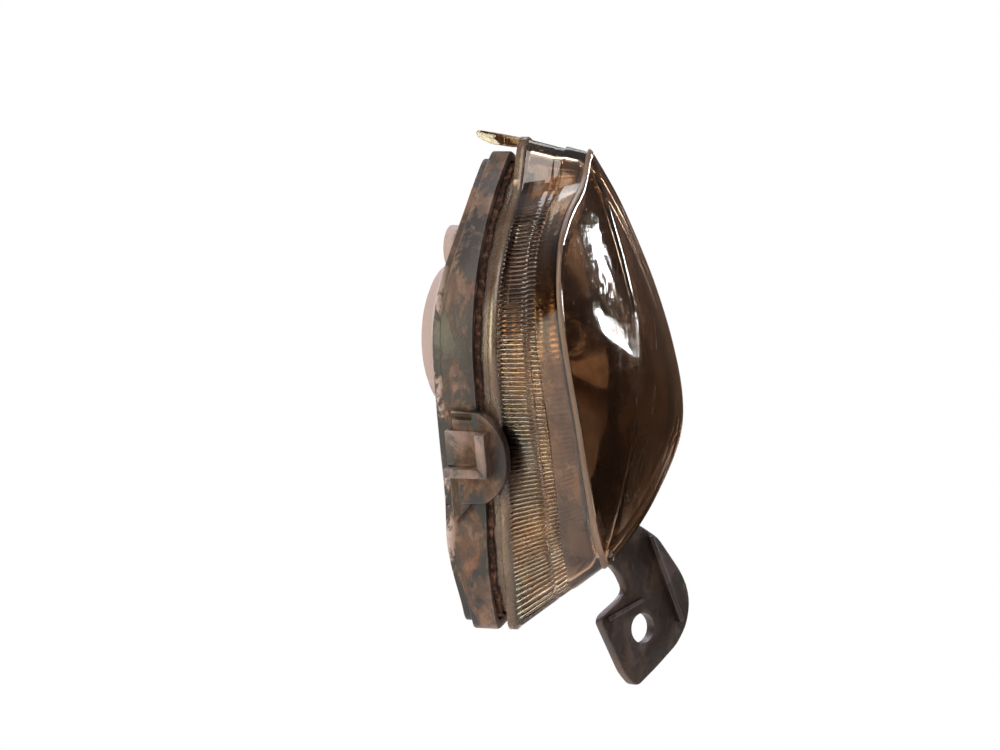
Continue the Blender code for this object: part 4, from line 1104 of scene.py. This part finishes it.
def make_cap():
    """Bayonet rear cap with lugs, grip bars and rim ribs, its seal and grommet, and the breather cap."""
    profile = [(3.2, -23.2), (16.6, -23.2), (16.9, -22.9), (16.9, -21.3), (14.7, -21.3), (14.7, -16.8),
               (13.3, -16.8), (13.3, -21.6), (3.2, -21.6)]
    cap = turned("rear_cap_turned", rounded(profile, 0.3, 2), CAP_CENTRE, 128)
    extra = []
    for i in range(3):
        start, end = LUG_SPACING * i + LUG_START, LUG_SPACING * i + LUG_END
        sector = arc((0, 0), 16.8, start, end, 6) + arc((0, 0), 14.0, end, start, 6)
        extra.append(prism("lug", sector, -18.0, -16.8, about_cap, 0.15))
    for side in (-1, 1):
        grip = rectangle(side * 9.0 - 3.5, side * 9.0 + 3.5, -1.5, 1.5)
        extra.append(prism("grip", rounded(grip, 0.8, 3), -24.0, -22.8, about_cap, 0.25))
    combine(cap, "UNION", extra)
    dress(smooth(cap), "dusty_polypropylene", "rear_cap", ["rear_cap"])
    rib = prism("rib", rectangle(16.5, 17.15, -0.35, 0.35), -22.8, -21.5, across, 0.12)
    for vertex in rib.data.vertices:
        vertex.co -= ORIGIN
    count = sizes().cap_ribs
    centre = place((CAP_CENTRE[0], 0, CAP_CENTRE[1]))
    ribs = point_cloud("rear_cap_ribs", np.repeat(centre, count, axis=0), np.arange(count) * 2 * np.pi / count)
    grow(ribs, "Copies", {"Copy": rib}, "dusty_polypropylene")
    bpy.data.objects.remove(rib, do_unlink=True)
    dress(smooth(ribs), "dusty_polypropylene", "rear_cap", [])
    seal = [(15.2, -21.0), (16.9, -21.0), (16.9, -19.7), (15.2, -19.7)]
    obj = turned("cap_seal_ring", rounded(seal, 0.4), CAP_CENTRE, 96)
    dress(smooth(obj), "matt_rubber", "rear_cap", ["cap_seal"])
    grommet = [(0, -23.8), (3.6, -23.8), (4.4, -23.5), (2.9, -23.4), (2.9, -21.4), (4.4, -21.3), (3.0, -20.4),
               (0, -20.4)]
    obj = turned("cap_grommet_plug", rounded(grommet, 0.2), CAP_CENTRE, 64)
    dress(smooth(obj), "matt_rubber", "rear_cap", ["cap_grommet"])
    vent = [(0, -17.6), (3.4, -17.6), (4.0, -17.0), (4.0, -15.3), (0, -15.3)]
    obj = turned("vent_cap_turned", rounded(vent, 0.3), (20.0, -34.0), 64)
    dress(smooth(obj), "matt_rubber", "lamp", ["vent_cap"])


def make_fixings():
    """Finishes of the aiming parts, whose shapes are the frame's own."""
    refinish(["adjuster_screw", "adjuster_ring"], "zinc_plate")
    refinish(["adjuster_nut"], "rolled_brass")
    refinish(["adjuster_seal"], "matt_rubber")
    refinish(["adjuster_bush", "adjuster_socket", "pivot_stud_1", "pivot_stud_2", "pivot_socket_1",
              "pivot_socket_2"], "moulded_acetal")


# ---- Stage ----------------------------------------------------------------------------------------------------

def softbox(name, place_at, aim, width, height, power, colour):
    """Rectangular area light that faces a point."""
    data = bpy.data.lights.new(name, "AREA")
    data.shape = "RECTANGLE"
    data.size = width
    data.size_y = height
    data.energy = power
    data.color = linear(colour)[:3]
    light = bpy.data.objects.new(name, data)
    light.location = place_at
    light.rotation_euler = (aim - place_at).to_track_quat("-Z", "Y").to_euler()
    light.visible_camera = False
    bpy.context.scene.collection.objects.link(light)


# Each light: name; metres to the lamp's right, towards the camera and up; width, height; watts; colour.
LIGHTS = [
    ("key_softbox", -0.30, 0.75, 0.45, 0.5, 0.5, 4.0, "fff8f0"),
    ("flute_softbox", -0.74, 0.50, 0.02, 0.30, 0.44, 6.0, "f8f0cc"),
    ("face_softbox", 0.72, -0.54, 0.20, 0.055, 0.10, 1.3, "ffffff"),
    ("second_face_softbox", 0.70, -0.36, 0.08, 0.03, 0.05, 0.35, "ffffff"),
    ("top_softbox", 0.0, -0.20, 0.80, 0.7, 0.5, 5.0, "ffffff"),
    ("rim_softbox", -0.40, -0.70, 0.30, 0.4, 0.4, 5.0, "f4f0ff"),
]


def make_stage():
    """Floor, surroundings, softboxes and camera."""
    settings = bpy.context.scene.fog_lamp_stage
    angle = settings.azimuth
    right = Vector((math.cos(angle), math.sin(angle), 0))
    toward = Vector((math.sin(angle), -math.cos(angle), 0))
    centre = ORIGIN + Vector((0, 0, VIEW_RISE * MM)) - right * VIEW_SHIFT * MM
    floor_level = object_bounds()[0].z - settings.floor_drop
    bpy.ops.mesh.primitive_circle_add(vertices=128, radius=1.0, fill_type="NGON",
                                      location=(centre.x, centre.y, floor_level))
    floor = bpy.context.object
    floor.name = "studio_floor"
    material, tree, shader = blank("pale_paper")
    fleck = mottle(tree, 30.0, 0.3, 0.7)
    paper = add(tree, "ShaderNodeMix", {
        **COLOUR_MIX, SHARE: fleck, FIRST: linear("ece9e6"), SECOND: linear("f2f0ee")}, out=MIXED)
    fill(shader, {"Base Color": paper, "Roughness": 0.9})
    floor.data.materials.append(material)
    floor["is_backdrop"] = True
    world = bpy.data.worlds.new("studio")
    world.use_nodes = True
    bpy.context.scene.world = world
    tree = world.node_tree
    seen = add(tree, "ShaderNodeLightPath", out="Is Camera Ray")
    up = add(tree, "ShaderNodeSeparateXYZ", {"Vector": add(tree, "ShaderNodeTexCoord", out="Generated")}, out="Z")
    up = add(tree, "ShaderNodeMapRange", {"Value": up, "From Min": -0.6, "From Max": 0.9})
    room = add(tree, "ShaderNodeValToRGB", {"Fac": up, "stops": [
        (0.0, linear("3c2417")), (0.42, linear("5c4535")), (0.58, linear("826c60")), (1.0, linear("cfc8c8"))]})
    backdrop = add(tree, "ShaderNodeMix", {
        **COLOUR_MIX, SHARE: seen, FIRST: room, SECOND: linear("ffffff")}, out=MIXED)
    fill(tree.nodes["Background"], {"Color": backdrop, "Strength": 1.0})
    for name, along, out, rise, width, height, power, colour in LIGHTS:
        place_at = centre + right * along + toward * out + Vector((0, 0, rise))
        softbox(name, place_at, centre, width, height, power, colour)
    data = bpy.data.cameras.new("camera")
    data.sensor_width = 36
    data.lens = data.sensor_width * settings.distance / settings.frame_width
    data.clip_start = 0.01
    camera = bpy.data.objects.new("camera", data)
    camera.location = centre + toward * settings.distance
    turn = (-toward).to_track_quat("-Z", "Y").to_matrix().to_4x4() @ Matrix.Rotation(settings.roll, 4, "Z")
    camera.rotation_euler = turn.to_euler()
    bpy.context.scene.collection.objects.link(camera)
    bpy.context.scene.camera = camera
    bpy.context.scene.view_settings.view_transform = "Standard"


# ---- Operators ------------------------------------------------------------------------------------------------

class FOGLAMP_OT_housing(bpy.types.Operator):
    """Make the housing with its ear, tab and bosses"""

    bl_idname = "foglamp.housing"
    bl_label = "Housing"

    def execute(self, context):
        """Run the piece's function."""
        make_housing()
        return {"FINISHED"}


class FOGLAMP_OT_lens(bpy.types.Operator):
    """Make the fluted clear cover"""

    bl_idname = "foglamp.lens"
    bl_label = "Lens"

    def execute(self, context):
        """Run the piece's function."""
        make_lens()
        return {"FINISHED"}


class FOGLAMP_OT_sealant(bpy.types.Operator):
    """Make the butyl bead round the lens"""

    bl_idname = "foglamp.sealant"
    bl_label = "Sealant"

    def execute(self, context):
        """Run the piece's function."""
        make_sealant()
        return {"FINISHED"}


class FOGLAMP_OT_trim(bpy.types.Operator):
    """Make the chromed trim and its screws"""

    bl_idname = "foglamp.trim"
    bl_label = "Trim"

    def execute(self, context):
        """Run the piece's function."""
        make_trim()
        return {"FINISHED"}


class FOGLAMP_OT_reflector(bpy.types.Operator):
    """Make the metallised bowl"""

    bl_idname = "foglamp.reflector"
    bl_label = "Reflector"

    def execute(self, context):
        """Run the piece's function."""
        make_reflector()
        return {"FINISHED"}


class FOGLAMP_OT_bulb(bpy.types.Operator):
    """Make the bulb, its filament and its clip"""

    bl_idname = "foglamp.bulb"
    bl_label = "Bulb"

    def execute(self, context):
        """Run the piece's function."""
        make_bulb()
        return {"FINISHED"}


class FOGLAMP_OT_cap(bpy.types.Operator):
    """Make the rear cap, seal, grommet and breather"""

    bl_idname = "foglamp.cap"
    bl_label = "Rear cap"

    def execute(self, context):
        """Run the piece's function."""
        make_cap()
        return {"FINISHED"}


class FOGLAMP_OT_fixings(bpy.types.Operator):
    """Finish the aim screw, nut, sockets and studs"""

    bl_idname = "foglamp.fixings"
    bl_label = "Aiming parts"

    def execute(self, context):
        """Run the piece's function."""
        make_fixings()
        return {"FINISHED"}


class FOGLAMP_OT_stage(bpy.types.Operator):
    """Make the floor, light and camera"""

    bl_idname = "foglamp.stage"
    bl_label = "Stage"

    def execute(self, context):
        """Run the piece's function."""
        make_stage()
        return {"FINISHED"}


PIECES = (FOGLAMP_OT_housing, FOGLAMP_OT_lens, FOGLAMP_OT_sealant, FOGLAMP_OT_trim, FOGLAMP_OT_reflector,
          FOGLAMP_OT_bulb, FOGLAMP_OT_cap, FOGLAMP_OT_fixings, FOGLAMP_OT_stage)


class FOGLAMP_PT_sidebar(bpy.types.Panel):
    """The fog light's settings and pieces"""

    bl_label = "Fog Light"
    bl_space_type = "VIEW_3D"
    bl_region_type = "UI"
    bl_category = "Fog Light"

    def draw(self, context):
        """List the settings and the pieces."""
        scene = context.scene
        for title, group in (("Sizes", scene.fog_lamp_sizes), ("Colours", scene.fog_lamp_colours),
                             ("Stage", scene.fog_lamp_stage)):
            box = self.layout.box()
            box.label(text=title)
            for name in group.__annotations__:
                box.prop(group, name)
        column = self.layout.column(align=True)
        for piece in PIECES:
            column.operator(piece.bl_idname)


GROUPS = {"fog_lamp_sizes": FogLampSizes, "fog_lamp_colours": FogLampColours, "fog_lamp_stage": FogLampStage}


def register():
    """Register the settings, the operators and the panel."""
    for name, group in GROUPS.items():
        bpy.utils.register_class(group)
        setattr(bpy.types.Scene, name, PointerProperty(type=group))
    for piece in PIECES:
        bpy.utils.register_class(piece)
    bpy.utils.register_class(FOGLAMP_PT_sidebar)


def unregister():
    """Undo register."""
    bpy.utils.unregister_class(FOGLAMP_PT_sidebar)
    for piece in reversed(PIECES):
        bpy.utils.unregister_class(piece)
    for name, group in reversed(GROUPS.items()):
        delattr(bpy.types.Scene, name)
        bpy.utils.unregister_class(group)


def main():
    """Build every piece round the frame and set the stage."""
    register()
    for piece in PIECES:
        name = piece.bl_idname.split(".")[1]
        getattr(bpy.ops.foglamp, name)()


if __name__ == "__main__":
    main()
